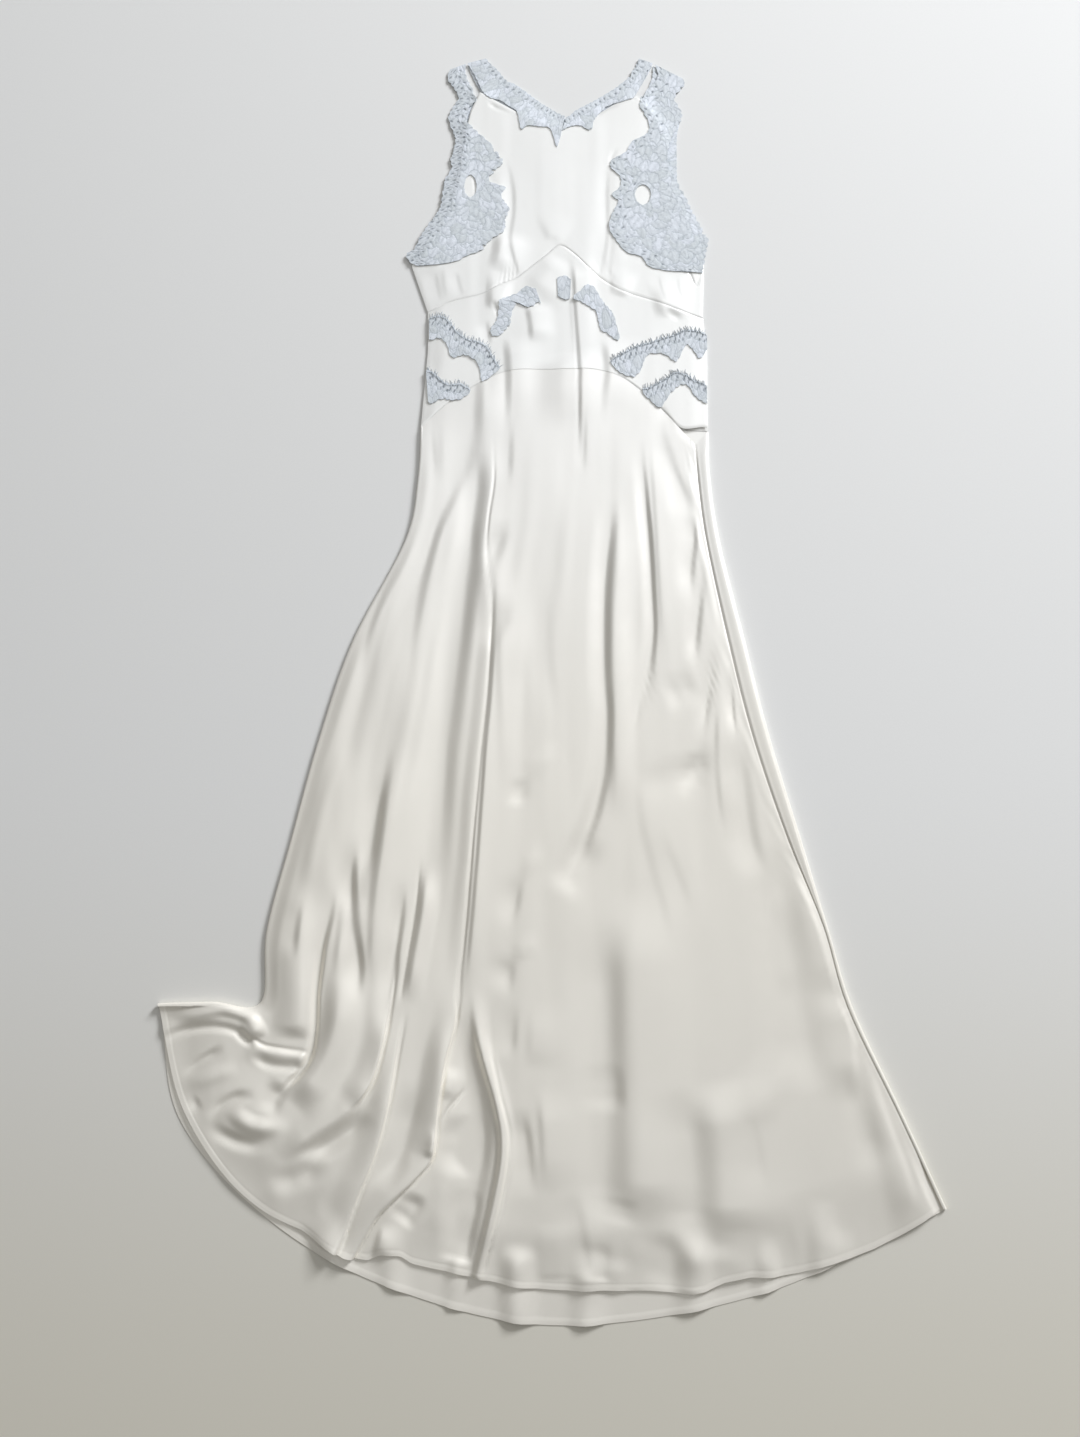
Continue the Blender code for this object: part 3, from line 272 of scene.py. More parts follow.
    ("fold b lower edge", 7, 30, 4.5, 0.3, 0.2, 0.05,
     -121, 221, -127, 184, -142, 164, -173, 134, -199, 108, -226, 71),
    ("fold b tip", 2.16, 8, 11, 0, 0.4, 0.3, -124, 213, -127, 195, -130, 182),
    ("fold a left", -6, 40, 22, 0, 0.3, 0.15,
     -94, 354, -91, 320, -86, 285, -79, 250, -73, 216, -73, 189, -78, 156, -86, 119, -93, 70),
    ("fold a", 6.66, 8, 16, 0, 0.25, 0,
     -80, 370, -75, 320, -66, 283, -54, 243, -47, 210, -47, 178, -55, 135, -65, 92, -74, 54),
    ("fold a right", -2.4, 3.2, 4, 0, 0.35, 0.05,
     -62, 354, -60, 304, -50, 254, -39, 210, -40, 176, -48, 130, -59, 89, -70, 52),
    ("flap arc", 4, 14, 14, 0, 0.4, 0.4, -350, 239, -342, 225, -326, 216, -306, 215, -281, 217),
    ("flap arc upper hollow", -3.2, 10, 12, 0, 0.35, 0.4, -380, 221, -362, 237, -342, 247, -322, 248),
    ("flap arc hollow", -3.6, 14, 12, 0, 0.4, 0.4, -380, 217, -355, 203, -327, 196, -296, 202),
    ("flap edge roll", 4.2, 12, 11, 0, 0.25, 0.15,
     -435, 343, -408, 340, -385, 345, -359, 347, -337, 339, -324, 325, -320, 311),
    ("flap roll ridge", 1.8, 9, 10, 0, 0.3, 0.3, -444, 313, -430, 321, -408, 330, -381, 337, -361, 338),
    ("flap roll hollow", -3, 8, 9, 0, 0.3, 0.15,
     -434, 306, -408, 319, -376, 324, -351, 320, -339, 311, -326, 304),
    ("flap tongue", 3.42, 8, 14, 0, 0.35, 0.3, -342, 331, -333, 320, -324, 309),
    ("flap crease a", -2.6, 6, 10, 0, 0.35, 0.35, -360, 303, -384, 289, -409, 271),
    ("flap crease b", 1.8, 12, 14, 0, 0.35, 0.35, -343, 281, -374, 270, -415, 256),
    ("flap mark", -1.6, 14, 8, 0, 0.45, 0.45, -399, 247, -392, 239, -385, 230),
    ("under e shade", -3, 9, 14, 0, 0.3, 0.25, -332, 294, -312, 283, -287, 279, -269, 283),
    ("under e pit", -4, 29, 14, 0, 0.4, 0.4, -291, 263, -302, 245, -308, 226),
    ("patch under d", -5, 16, 20, 0, 0.35, 0.35, -193, 230, -218, 210, -244, 193, -273, 178),
    ("patch low left", -3, 20, 22, 0, 0.4, 0.4, -240, 178, -273, 161, -309, 152),
    ("low left swell", 1, 22, 24, 0, 0.4, 0.4, -315, 156, -295, 137, -272, 120),
    ("low panel swell", 0.9, 20, 43, 0, 0.4, 0.3, -239, 139, -254, 117, -263, 98),
    ("panel c shade", -3.4, 36, 16, 0, 0.35, 0.35, -140, 265, -153, 221, -164, 178, -183, 145),
    ("valley crease", -3, 4, 3.4, 0, 0.3, 0.3, -96, 309, -88, 276, -87, 259, -97, 245, -108, 232, -119, 208),
    ("valley swell a", 2.52, 12, 23, 0, 0.4, 0.35, -104, 281, -106, 261, -110, 241),
    ("valley dark", -6.5, 54, 26, 0, 0.4, 0.4, -81, 230, -81, 193, -87, 156),
    ("valley swell b", 0.72, 22, 36, 0, 0.4, 0.4, -96, 174, -105, 150, -121, 128),
    ("valley dark low", -3.6, 32, 16, 0, 0.4, 0.3, -139, 143, -147, 124, -160, 107),
    ("valley swell c", 1.62, 20, 36, 0, 0.4, 0.2, -161, 113, -174, 98, -187, 79),
    ("valley dark right", -4.5, 36, 12, 0, 0.35, 0.1, -74, 145, -83, 107, -91, 66),
    ("hem step", 2, 5, 20, 0, 0.4, 0, -178, 111, -184, 92, -188, 68),
)
# Creases and soft swells of bust and midriff, in the same columns.
BODICE_FOLDS = (
    ("cup crease left", -1, 18, 6, 0, 0.3, 0.3,
     -50, 1375, -40, 1329, -39, 1295, -43, 1259, -36, 1227, -29, 1206),
    ("cup swell left", 0.27, 14, 40, 0, 0.3, 0.3, -63, 1375, -55, 1323, -53, 1272, -48, 1227),
    ("cup crease right", -0.9, 27, 4, 0, 0.3, 0.3, 79, 1375, 76, 1323, 76, 1272, 71, 1231, 68, 1202),
    ("cup crease right two", -0.54, 18, 4, 0, 0.35, 0.3, 94, 1320, 85, 1278, 80, 1231, 75, 1208),
    ("cup swell right", 0.3, 9, 16, 0, 0.3, 0.3, 93, 1388, 88, 1323, 90, 1259, 95, 1208),
    ("centre tall crease", 1.8, 9, 48, 0, 0.12, 0.3,
     38, 1239, 39, 1196, 41, 1151, 45, 1108, 47, 1058, 47, 1009, 43, 969),
    ("centre tall swell", -1, 4, 4, 0, 0.2, 0.3, 34, 1231, 36, 1183, 40, 1120, 42, 1058, 42, 996),
    ("mid left crease", 1.8, 8, 30, 0, 0.3, 0.35, -18, 1180, -13, 1155, -11, 1128),
    ("mid left shade", 2.6, 11, 44, 0, 0.25, 0.35, -41, 1140, -38, 1105, -37, 1070, -38, 1021),
    ("mid left pocket", -0.96, 18, 5, 0, 0.35, 0.35, -71, 1160, -68, 1141, -66, 1124),
    ("mid left stroke", -0.78, 3, 4, 0, 0.35, 0.35, -63, 1183, -58, 1172, -54, 1160),
    ("mid right shade", 2.3, 11, 44, 0, 0.25, 0.35, 77, 1138, 81, 1101, 80, 1073, 78, 1043),
    ("mid right pocket", -0.9, 8, 8, 0, 0.4, 0.4, 145, 1173, 156, 1165, 167, 1158),
    ("bust side crease a", -0.3, 18, 5, 0, 0.35, 0.35, 137, 1218, 140, 1198, 145, 1180),
    ("bust side crease c", -0.3, 18, 5, 0, 0.35, 0.35, 160, 1218, 162, 1196, 169, 1175),
    ("underarm tuck", -0.96, 2.5, 3.5, 0, 0.2, 0.3, 176, 1228, 178, 1214, 184, 1203, 191, 1218),
    ("left side light", 0.49, 5, 27, 0, 0.35, 0.35, -121, 1231, -119, 1206, -116, 1183),
    ("left side shade", -0.54, 18, 5, 0, 0.35, 0.35, -133, 1223, -130, 1201, -125, 1178),
    ("left side shade two", -0.48, 18, 5, 0, 0.35, 0.35, -108, 1223, -104, 1203, -99, 1185),
    ("gather hollow", 2.6, 15, 40, 0, 0.35, 0.35, -46, 1274, -51, 1246, -58, 1218),
    ("bust peak shade", 0.9, 12, 34, 0, 0.35, 0.35, -2, 1264, 12, 1268, 27, 1259),
    ("yoke left shade", 2.8, 14, 36, 0, 0.25, 0.35, -68, 1088, -70, 1053, -76, 1014),
    ("yoke right shade", -0.84, 40, 9, 0, 0.25, 0.35, 135, 1056, 146, 1036, 156, 1014),
    ("yoke brown patch", 3.4, 40, 70, 0, 0.3, 0.3, 19, 1118, 24, 1090, 25, 1063, 26, 1033),
    ("midriff left shade", 2, 26, 52, 0, 0.35, 0.35, 20, 1239, 5, 1213, -14, 1183),
    ("midriff left shade two", 2.4, 14, 40, 0, 0.35, 0.35, -72, 1184, -57, 1183, -41, 1178),
    ("midriff right shade", 2.2, 15, 44, 0, 0.35, 0.35, 130, 1170, 152, 1174, 179, 1169),
    ("peak shade left", 1.6, 11, 30, 0, 0.35, 0.35, 78, 1198, 92, 1197, 109, 1190),
    ("waist left hollow", -0.6, 40, 8, 0, 0.4, 0.4, -136, 1021, -133, 990, -128, 960),
    ("waist left swell", 0.54, 10, 54, 0, 0.4, 0.4, -116, 1027, -118, 990, -116, 954),
    ("tilted band left", 0.6, 10, 8, 0, 0.35, 0.35, -107, 1126, -89, 1118, -69, 1100),
    ("neck crease", -0.48, 3, 3, 0, 0.35, 0.35, -90, 1388, -86, 1349, -83, 1310),
    ("peak fold left", -0.9, 4, 5, 0, 0.35, 0.35, -70, 1437, -57, 1429, -41, 1423),
    ("peak fold right", -0.9, 3, 5, 0, 0.35, 0.35, 64, 1416, 76, 1428, 96, 1434),
    ("right strap crease", -0.6, 3, 5, 0, 0.35, 0.35, 91, 1380, 83, 1367, 81, 1351),
)
# Where both hems stand off the surface, in the same columns.
HEM_WAVES = (
    ("wave left", 4, 26, 26, 0, 0.4, 0, -248, 129, -240, 92, -233, 58),
    ("wave left two", 3, 18, 22, 0, 0.4, 0, -178, 108, -173, 76, -168, 36),
    ("wave crease", 3, 14, 16, 0, 0.4, 0, -91, 92, -98, 49, -102, 15),
    ("wave a", 6, 24, 26, 0, 0.4, 0, -31, 92, -31, 44, -31, -2),
    ("wave b", 5, 26, 26, 0, 0.4, 0, 49, 86, 49, 39, 48, -2),
    ("wave c", 4.5, 32, 24, 0, 0.4, 0, 169, 108, 169, 65, 168, 15),
    ("wave d", 4, 20, 18, 0, 0.4, 0, 249, 108, 249, 70, 248, 32),
    ("wave e", 4.5, 24, 24, 0, 0.4, 0, 310, 140, 311, 92, 312, 47),
    ("wave f", 4.5, 42, 30, 0, 0.7, 0, 399, 200, 413, 148, 429, 100),
)
# Where the front hem alone stands off the back one.
FRONT_LIFTS = (
    ("hem gap right", 2.2, 36, 36, 0, 0.4, 0, 216, 108, 218, 81, 219, 51),
    ("hem gap far right", 2.2, 22, 22, 0, 0.4, 0, 327, 119, 331, 92, 335, 68),
    ("hem gap centre", 1.6, 24, 24, 0, 0.4, 0, -27, 86, -27, 65, -27, 44),
    ("hem gap centre two", 1.6, 24, 24, 0, 0.4, 0, 79, 76, 79, 54, 78, 28),
)
# Seam under the bust, points from left to right, and the right end of the yoke seam.
UNDERBUST = (
    (-141, 1168), (-111, 1182), (-76, 1191), (-53, 1203), (-33, 1212), (-13, 1228), (2, 1240), (19, 1253),
    (36, 1243), (51, 1228), (65, 1214), (80, 1203), (97, 1194), (128, 1184), (162, 1171), (193, 1160),
)
YOKE_CORNER = (195.5, 1023.0)
# Level lines over midriff and back, each from its left end to its right one; peaks beside the back neck.
MIDRIFF_LINE = ((-139.5, 1120.0), (196.3, 1120.0))
BACK_BUST = ((-139.5, 1165.0), (191.5, 1165.0))
BACK_WAIST = ((-146.5, 1031.5), (196.0, 1020.9))
BACK_PEAKS = ((-77.0, 1447.0), (113.5, 1447.0))
# Gathers along the seam under the bust: the middle and the reach of each cluster.
GATHERS = ((-43, 20), (75, 20))
# How far the front hem hangs below its guides: x, then the drop there.
HEM_DROP = (
    (-271, -243, -221, -196, -182, -160, -147, -127, -99, 62, 118, 162,
     179, 201, 229, 256, 284, 312, 340, 367, 395, 423, 440),
    (0, 9, 14, 12, 2, -2, 3, 2, 0, 0, 6, 15,
     15, 10, 10, 16, 19, 19, 20, 19, 14, 6, 0),
)
# Front bust, one row a rib: upper edge x, y, then x of its lower end on the seam.
BUST_RIBS = (
    (-161.0, 1229.0, -140.0),
    (-145.5, 1250.5, -125.5),
    (-131.0, 1271.0, -111.0),
    (-116.5, 1295.5, -97.5),
    (-107.0, 1321.0, -85.5),
    (-101.0, 1349.5, -76.0),
    (-99.0, 1375.0, -67.5),
    (-95.5, 1401.0, -60.0),
    (-89.5, 1427.0, -53.0),
    (-78.5, 1451.0, -43.5),
    (-62.5, 1441.5, -33.5),
    (-44.0, 1431.0, -24.0),
    (-23.0, 1419.5, -13.0),
    (-1.0, 1411.5, 2.5),
    (22.5, 1405.0, 19.5),
    (42.0, 1411.5, 36.5),
    (62.0, 1419.5, 51.0),
    (84.0, 1433.5, 65.5),
    (101.0, 1440.5, 80.0),
    (116.0, 1444.0, 97.0),
    (133.0, 1424.5, 116.0),
    (145.0, 1401.0, 128.5),
    (148.5, 1375.0, 138.0),
    (152.0, 1346.5, 145.0),
    (159.0, 1321.0, 153.5),
    (168.5, 1295.5, 162.0),
    (178.0, 1272.0, 171.5),
    (187.0, 1252.0, 181.0),
    (194.0, 1231.5, 192.0),
)
# Lace, one row a rib: outer or upper edge x, y, then inner or lower edge x, y.
NECK_LEFT = (
    (-71.5, 1495.5, -94.5, 1489.0),
    (-66.5, 1489.0, -88.5, 1479.5),
    (-56.5, 1479.5, -81.0, 1464.0),
    (-50.0, 1470.5, -75.0, 1451.0),
    (-41.5, 1462.5, -66.0, 1443.0),
    (-31.5, 1456.0, -54.0, 1440.5),
    (-22.0, 1449.5, -44.0, 1433.5),
    (-11.0, 1441.5, -33.0, 1424.5),
    (-3.5, 1436.5, -28.0, 1402.5),
    (3.0, 1432.5, -19.5, 1406.5),
    (9.0, 1428.5, -4.5, 1405.0),
    (15.0, 1424.5, 6.5, 1403.5),
    (20.0, 1422.0, 11.5, 1393.5),
    (22.5, 1420.5, 16.0, 1379.0),
    (26.0, 1419.5, 21.0, 1394.5),
)
NECK_RIGHT = (
    (27.5, 1418.0, 22.5, 1400.0),
    (32.5, 1420.5, 32.0, 1405.0),
    (38.5, 1426.0, 44.5, 1406.5),
    (47.0, 1431.0, 58.0, 1400.0),
    (57.0, 1436.5, 61.5, 1413.0),
    (69.5, 1444.0, 71.5, 1426.0),
    (78.0, 1449.5, 84.0, 1435.0),
    (88.0, 1456.0, 94.0, 1437.5),
    (97.5, 1464.0, 103.5, 1440.5),
    (106.5, 1470.5, 111.0, 1444.0),
    (109.0, 1478.5, 118.5, 1458.5),
    (115.0, 1485.0, 126.0, 1473.0),
    (117.5, 1495.5, 135.0, 1489.0),
)
ARM_LEFT = (
    (-115.5, 1481.0, -97.0, 1488.0),
    (-118.0, 1469.0, -98.5, 1477.0),
    (-109.5, 1456.0, -92.0, 1461.5),
    (-104.5, 1443.0, -84.5, 1440.5),
    (-111.5, 1431.0, -92.0, 1431.0),
    (-116.5, 1417.0, -95.5, 1414.0),
    (-110.0, 1397.0, -83.0, 1398.5),
    (-107.5, 1388.0, -68.5, 1385.5),
    (-111.0, 1372.5, -56.0, 1368.5),
    (-113.5, 1362.0, -51.0, 1358.5),
    (-112.0, 1352.0, -62.0, 1346.5),
    (-119.5, 1339.0, -68.0, 1335.0),
    (-122.0, 1327.5, -47.5, 1326.0),
    (-123.0, 1318.5, -53.5, 1317.0),
    (-125.0, 1303.0, -43.5, 1300.5),
    (-130.0, 1294.0, -47.0, 1287.5),
    (-141.0, 1277.5, -49.5, 1271.0),
    (-150.5, 1262.0, -65.5, 1259.5),
    (-156.5, 1248.0, -76.0, 1246.5),
    (-166.0, 1241.5, -94.5, 1239.0),
    (-162.0, 1231.5, -107.5, 1232.0),
    (-152.5, 1226.5, -128.5, 1228.0),
)
ARM_RIGHT = (
    (137.5, 1487.5, 171.5, 1469.0),
    (141.0, 1473.0, 173.0, 1462.5),
    (134.5, 1461.5, 166.5, 1453.5),
    (127.0, 1451.0, 160.5, 1445.5),
    (119.5, 1440.5, 162.5, 1436.5),
    (118.5, 1430.0, 168.5, 1424.5),
    (128.0, 1413.0, 167.5, 1414.0),
    (129.0, 1401.0, 163.5, 1405.0),
    (123.0, 1393.5, 157.5, 1393.5),
    (108.0, 1385.5, 153.5, 1383.0),
    (100.5, 1372.5, 151.0, 1372.5),
    (83.5, 1362.0, 151.0, 1362.0),
    (82.0, 1352.0, 152.0, 1352.0),
    (93.0, 1340.5, 156.5, 1340.5),
    (93.0, 1327.5, 165.0, 1327.5),
    (83.0, 1317.0, 171.0, 1316.0),
    (90.5, 1308.0, 176.0, 1304.0),
    (83.0, 1292.5, 180.5, 1294.0),
    (79.5, 1275.0, 186.5, 1282.5),
    (87.5, 1259.5, 192.5, 1271.0),
    (100.0, 1244.0, 198.5, 1259.5),
    (118.0, 1238.0, 197.0, 1249.5),
    (128.5, 1225.0, 194.5, 1238.0),
    (150.5, 1220.0, 193.0, 1227.5),
    (172.0, 1219.0, 190.5, 1217.5),
)
MOTIF_LEFT = (
    (-62.5, 1138.0, -54.0, 1138.0),
    (-63.5, 1147.0, -48.0, 1144.5),
    (-56.5, 1158.0, -41.0, 1153.0),
    (-54.0, 1172.0, -39.5, 1165.5),
    (-53.0, 1182.0, -32.5, 1179.5),
    (-42.0, 1187.0, -21.5, 1174.5),
    (-31.0, 1192.0, -13.0, 1176.0),
    (-21.5, 1200.0, -8.0, 1181.0),
    (-9.5, 1196.0, -3.5, 1179.5),
)
MOTIF_CENTRE = (
    (16.0, 1210.0, 17.0, 1188.5),
    (21.0, 1212.5, 22.0, 1184.5),
    (27.0, 1212.5, 27.0, 1183.5),
    (33.0, 1208.5, 31.5, 1184.5),
)
MOTIF_RIGHT = (
    (36.5, 1188.5, 35.5, 1183.5),
    (44.0, 1193.5, 43.5, 1181.0),
    (51.0, 1201.0, 54.5, 1174.5),
    (60.5, 1198.5, 63.0, 1168.5),
    (68.0, 1186.0, 65.5, 1158.0),
    (75.0, 1176.0, 69.0, 1145.5),
    (83.5, 1165.5, 76.0, 1142.0),
    (87.0, 1153.0, 83.5, 1135.5),
    (91.5, 1135.5, 89.5, 1132.0),
)
WAIST_LEFT_UPPER = (
    (-138.5, 1160.5, -138.0, 1133.0),
    (-125.0, 1163.0, -125.0, 1135.5),
    (-115.5, 1157.0, -116.5, 1127.0),
    (-106.0, 1144.5, -110.5, 1112.0),
    (-93.5, 1134.5, -95.0, 1114.5),
    (-79.0, 1130.5, -81.5, 1107.0),
    (-69.5, 1125.5, -76.5, 1095.5),
    (-62.5, 1113.0, -73.0, 1082.0),
    (-52.5, 1098.0, -54.0, 1095.5),
)
WAIST_LEFT_LOWER = (
    (-141.5, 1095.5, -138.5, 1056.0),
    (-132.0, 1090.5, -132.5, 1054.5),
    (-123.5, 1082.0, -122.0, 1059.5),
    (-112.5, 1077.0, -112.5, 1058.5),
    (-100.5, 1078.0, -100.5, 1059.5),
    (-87.5, 1071.0, -89.5, 1066.0),
)
WAIST_RIGHT_UPPER = (
    (79.5, 1105.5, 82.0, 1100.5),
    (89.0, 1112.0, 91.5, 1092.0),
    (99.0, 1118.0, 106.0, 1087.0),
    (111.0, 1124.5, 115.5, 1094.5),
    (128.0, 1129.5, 125.0, 1114.5),
    (142.5, 1134.5, 144.5, 1115.5),
    (154.5, 1138.0, 159.0, 1107.0),
    (169.0, 1144.5, 171.0, 1127.0),
    (181.0, 1144.5, 180.5, 1119.5),
    (189.5, 1143.0, 187.5, 1110.5),
    (196.5, 1139.5, 196.5, 1122.0),
)
WAIST_RIGHT_LOWER = (
    (117.5, 1072.0, 119.0, 1066.0),
    (127.0, 1073.5, 128.5, 1057.0),
    (137.0, 1079.5, 139.0, 1049.5),
    (148.0, 1085.5, 151.0, 1066.0),
    (157.5, 1092.0, 163.0, 1077.0),
    (169.5, 1089.5, 173.0, 1076.0),
    (179.0, 1083.0, 180.0, 1064.5),
    (188.5, 1079.5, 189.5, 1057.0),
    (195.5, 1076.0, 195.5, 1054.5),
)
BACK_LEFT = (
    (-113.0, 1478.5, -97.0, 1486.0),
    (-115.5, 1468.0, -96.0, 1472.0),
    (-104.5, 1451.0, -88.5, 1452.0),
    (-103.0, 1441.5, -81.5, 1439.0),
    (-111.5, 1424.5, -82.5, 1420.5),
    (-114.0, 1414.0, -83.0, 1409.0),
    (-107.5, 1396.0, -83.5, 1396.0),
    (-110.0, 1372.5, -84.0, 1372.5),
    (-111.0, 1353.0, -85.5, 1353.0),
    (-117.0, 1337.5, -90.0, 1335.0),
    (-119.5, 1317.0, -93.5, 1314.5),
    (-125.0, 1296.5, -101.0, 1291.5),
    (-137.0, 1277.5, -113.0, 1271.0),
    (-148.0, 1262.0, -125.0, 1252.0),
    (-158.5, 1246.5, -135.5, 1235.5),
    (-162.0, 1231.5, -140.5, 1222.5),
)
BACK_RIGHT = (
    (135.0, 1486.0, 170.5, 1469.0),
    (133.5, 1469.0, 165.5, 1456.0),
    (124.5, 1449.5, 160.5, 1445.5),
    (118.5, 1444.0, 161.5, 1435.0),
    (122.0, 1435.0, 167.5, 1424.5),
    (126.0, 1417.0, 167.5, 1414.0),
    (127.0, 1393.5, 163.5, 1393.5),
    (128.5, 1352.0, 163.0, 1362.5),
    (134.5, 1331.0, 164.0, 1328.5),
    (139.5, 1310.5, 173.5, 1310.5),
    (149.0, 1290.0, 181.5, 1292.5),
    (160.5, 1269.5, 191.0, 1272.0),
    (170.0, 1250.5, 197.0, 1255.5),
    (177.5, 1234.0, 193.0, 1231.5),
)
BACK_NECK = (
    (-70.0, 1493.0, -93.5, 1486.0),
    (-59.0, 1478.5, -86.0, 1468.0),
    (-49.0, 1466.5, -76.0, 1449.5),
    (-39.0, 1464.0, -67.5, 1443.0),
    (-27.0, 1456.0, -52.5, 1435.0),
    (-12.0, 1444.0, -35.5, 1423.5),
    (5.0, 1431.0, -15.5, 1410.5),
    (25.0, 1417.0, 23.5, 1392.0),
    (44.5, 1430.0, 63.0, 1410.5),
    (63.0, 1439.0, 82.5, 1423.5),
    (84.0, 1453.5, 97.5, 1435.0),
    (99.0, 1465.0, 108.5, 1443.0),
    (109.0, 1477.0, 118.5, 1457.5),
    (116.5, 1493.0, 133.5, 1485.0),
)
# Round holes left open in the lace: centre x, y, half width, half height.
HOLES_LEFT = ((-89.5, 1328.0, 7.5, 14.0),)
HOLES_RIGHT = ((121.0, 1317.0, 9.5, 12.5),)


def through(points, t):
    """Smooth curve through evenly numbered points; t runs from 0 to 1."""
    points = np.asarray(points, dtype=float)
    last = len(points) - 1
    s = np.clip(np.atleast_1d(t), 0.0, 1.0) * last
    i = np.minimum(s.astype(int), last - 1)
    f = (s - i)[:, None]
    padded = np.vstack([2 * points[0] - points[1], points, 2 * points[-1] - points[-2]])
    p0, p1, p2, p3 = padded[i], padded[i + 1], padded[i + 2], padded[i + 3]
    cubic = (2 * p0 - 5 * p1 + 4 * p2 - p3) * f ** 2 + (3 * p1 - p0 - 3 * p2 + p3) * f ** 3
    return p1 + 0.5 * ((p2 - p0) * f + cubic)


def soft(t):
    """Smooth step from 0 to 1."""
    t = np.clip(t, 0.0, 1.0)
    return t * t * (3 - 2 * t)


def fold_lines(table):
    """Every fold ready to measure from: its sizes and its line as fine steps."""
    lines = []
    for row in table:
        points = np.array(row[7:], dtype=float).reshape(-1, 2)
        lines.append((row[1:7], through(points, np.linspace(0, 1, 8 * len(points)))))
    return lines


def relief(lines, x, y):
    """What folds and creases add to the height at each point, and how far they lean over across and along."""
    x = np.asarray(x, dtype=float)
    y = np.asarray(y, dtype=float)
    height = np.zeros_like(x)
    over = np.zeros(x.shape + (2,))
    for (rise, left, right, lean, fade_in, fade_out), line in lines:
        reach = max(left, right)
        low, high = line.min(0) - reach, line.max(0) + reach
        near = (x > low[0]) & (x < high[0]) & (y > low[1]) & (y < high[1])
        if not near.any():
            continue
        a = line[:-1]
        d = line[1:] - a
        ox = x[near][:, None] - a[None, :, 0]
        oy = y[near][:, None] - a[None, :, 1]
        f = np.clip((ox * d[:, 0] + oy * d[:, 1]) / (d ** 2).sum(1), 0.0, 1.0)
        ex = ox - f * d[:, 0]
        ey = oy - f * d[:, 1]
        k = np.argmin(ex ** 2 + ey ** 2, axis=1)
        pick = np.arange(len(k))
        ex, ey, f, d = ex[pick, k], ey[pick, k], f[pick, k], d[k]
        side = d[:, 0] * ey - d[:, 1] * ex
        along = (k + f) / (len(line) - 1)
        width = np.where(side < 0, left, right)
        away = np.clip(np.hypot(ex, ey) / width, 0.0, 1.0)
        bump = (0.5 + 0.5 * np.cos(math.pi * away)) ** (1.0 if rise > 0 else HOLLOW_SHARP)
        if fade_in:
            bump *= soft(along / fade_in)
        if fade_out:
            bump *= soft((1 - along) / fade_out)
        bump *= 0.9 + 0.1 * np.sin(along * 9 + line[0, 0])
        height[near] += rise * bump
        if lean:
            steep = -1.0 if left < right else 1.0
            past = (np.hypot(ex, ey) - min(left, right)) / CREASE_WIDTH
            shown = (side * steep > 0) * soft(bump / rise + along * (1 - along) * 9)
            height[near] -= CREASE_DEPTH * np.exp(-past ** 2) * shown
            across = np.stack([-d[:, 1], d[:, 0]], axis=1) / np.hypot(d[:, 0], d[:, 1])[:, None]
            over[near] += across * (steep * lean * rise * bump)[:, None]
    return height, over


def ripple(x, y, wide, long, seed):
    """Soft uneven ripples of about one millimetre either way, so wide and so long."""
    table = np.random.default_rng(seed).uniform(-1, 1, (96, 96))
    u = np.asarray(x) / wide + 48.0
    v = np.asarray(y) / long + 7.0
    i = np.clip(u.astype(int), 0, 94)
    j = np.clip(v.astype(int), 0, 94)
    f = soft(u - i)
    g = soft(v - j)
    upper = table[i, j] * (1 - f) + table[i + 1, j] * f
    lower = table[i, j + 1] * (1 - f) + table[i + 1, j + 1] * f
    return upper * (1 - g) + lower * g


FRONT_LINES = fold_lines(SKIRT_FOLDS + BODICE_FOLDS + FRONT_LIFTS)
WAVE_LINES = fold_lines(HEM_WAVES)


def hem_waves(x, y):
    """How far the hem is lifted off the surface, in the waves that throw shadows."""
    return relief(WAVE_LINES, x, y)[0]


def above_floor(height, rounding):
    """A height kept over nothing by a soft bend in place of a sharp one."""
    return 0.5 * (height + np.sqrt(height ** 2 + rounding))


def front_cloth(x, y):
    """Height of the front cloth and its lean at each point."""
    height, over = relief(FRONT_LINES, x, y)
    skirt = soft((WAIST_LEVEL - np.asarray(y)) / AIR_EASE)
    air = BODICE_AIR + (SKIRT_AIR - BODICE_AIR) * skirt
    height = FLOOR_GAP + above_floor(height + FRONT_REST + air - FLOOR_GAP, 1.5)
    narrow = 0.18 * ripple(x, y, 13, 120, 4)
    long = 0.4 * ripple(x, y, 34, 170, 9) * skirt
    broad = 0.35 * ripple(x, y, 60, 80, 21)
    return height + (narrow + long + broad) + hem_waves(x, y), over


def section_grid(sections, stops):
    """Guide points of a skirt at each of its rows."""
    levels = np.array([row[1:] for row in sections], dtype=float)
    return through(levels, stops).reshape(len(stops), 7, 2)


def fine_line(guides):
    """A row's guides as a fine line, and the length of each of its steps."""
    line = through(guides, np.linspace(0, 1, 161))
    return line, np.hypot(*np.diff(line, axis=0).T)


def walk(guides, distances):
    """Points along one row at distances from its left end."""
    line, paces = fine_line(guides)
    return along_line(line, np.concatenate([[0.0], np.cumsum(paces)]), distances)


def along_line(line, run, distances):
    """Points of a line at places along its run."""
    return np.stack([np.interp(distances, run, line[:, k]) for k in (0, 1)], axis=1)


def row_length(guides):
    """Length of one row of the skirt."""
    return float(fine_line(guides)[1].sum())


def row_stops(counts):
    """Places of the rows between the levels, so many to a level, closing up in the turned hem."""
    stops = np.concatenate([k + np.arange(n) / n for k, n in enumerate(counts)])
    last = len(counts)
    return np.concatenate([stops[stops < last - 0.12], last - np.array(HEM_ROWS)]) / last


def apart(grid, spots):
    """Distance of each point of a grid from the spots it is set against."""
    return np.hypot(*(grid[..., :2] - spots[..., :2]).transpose(2, 0, 1))


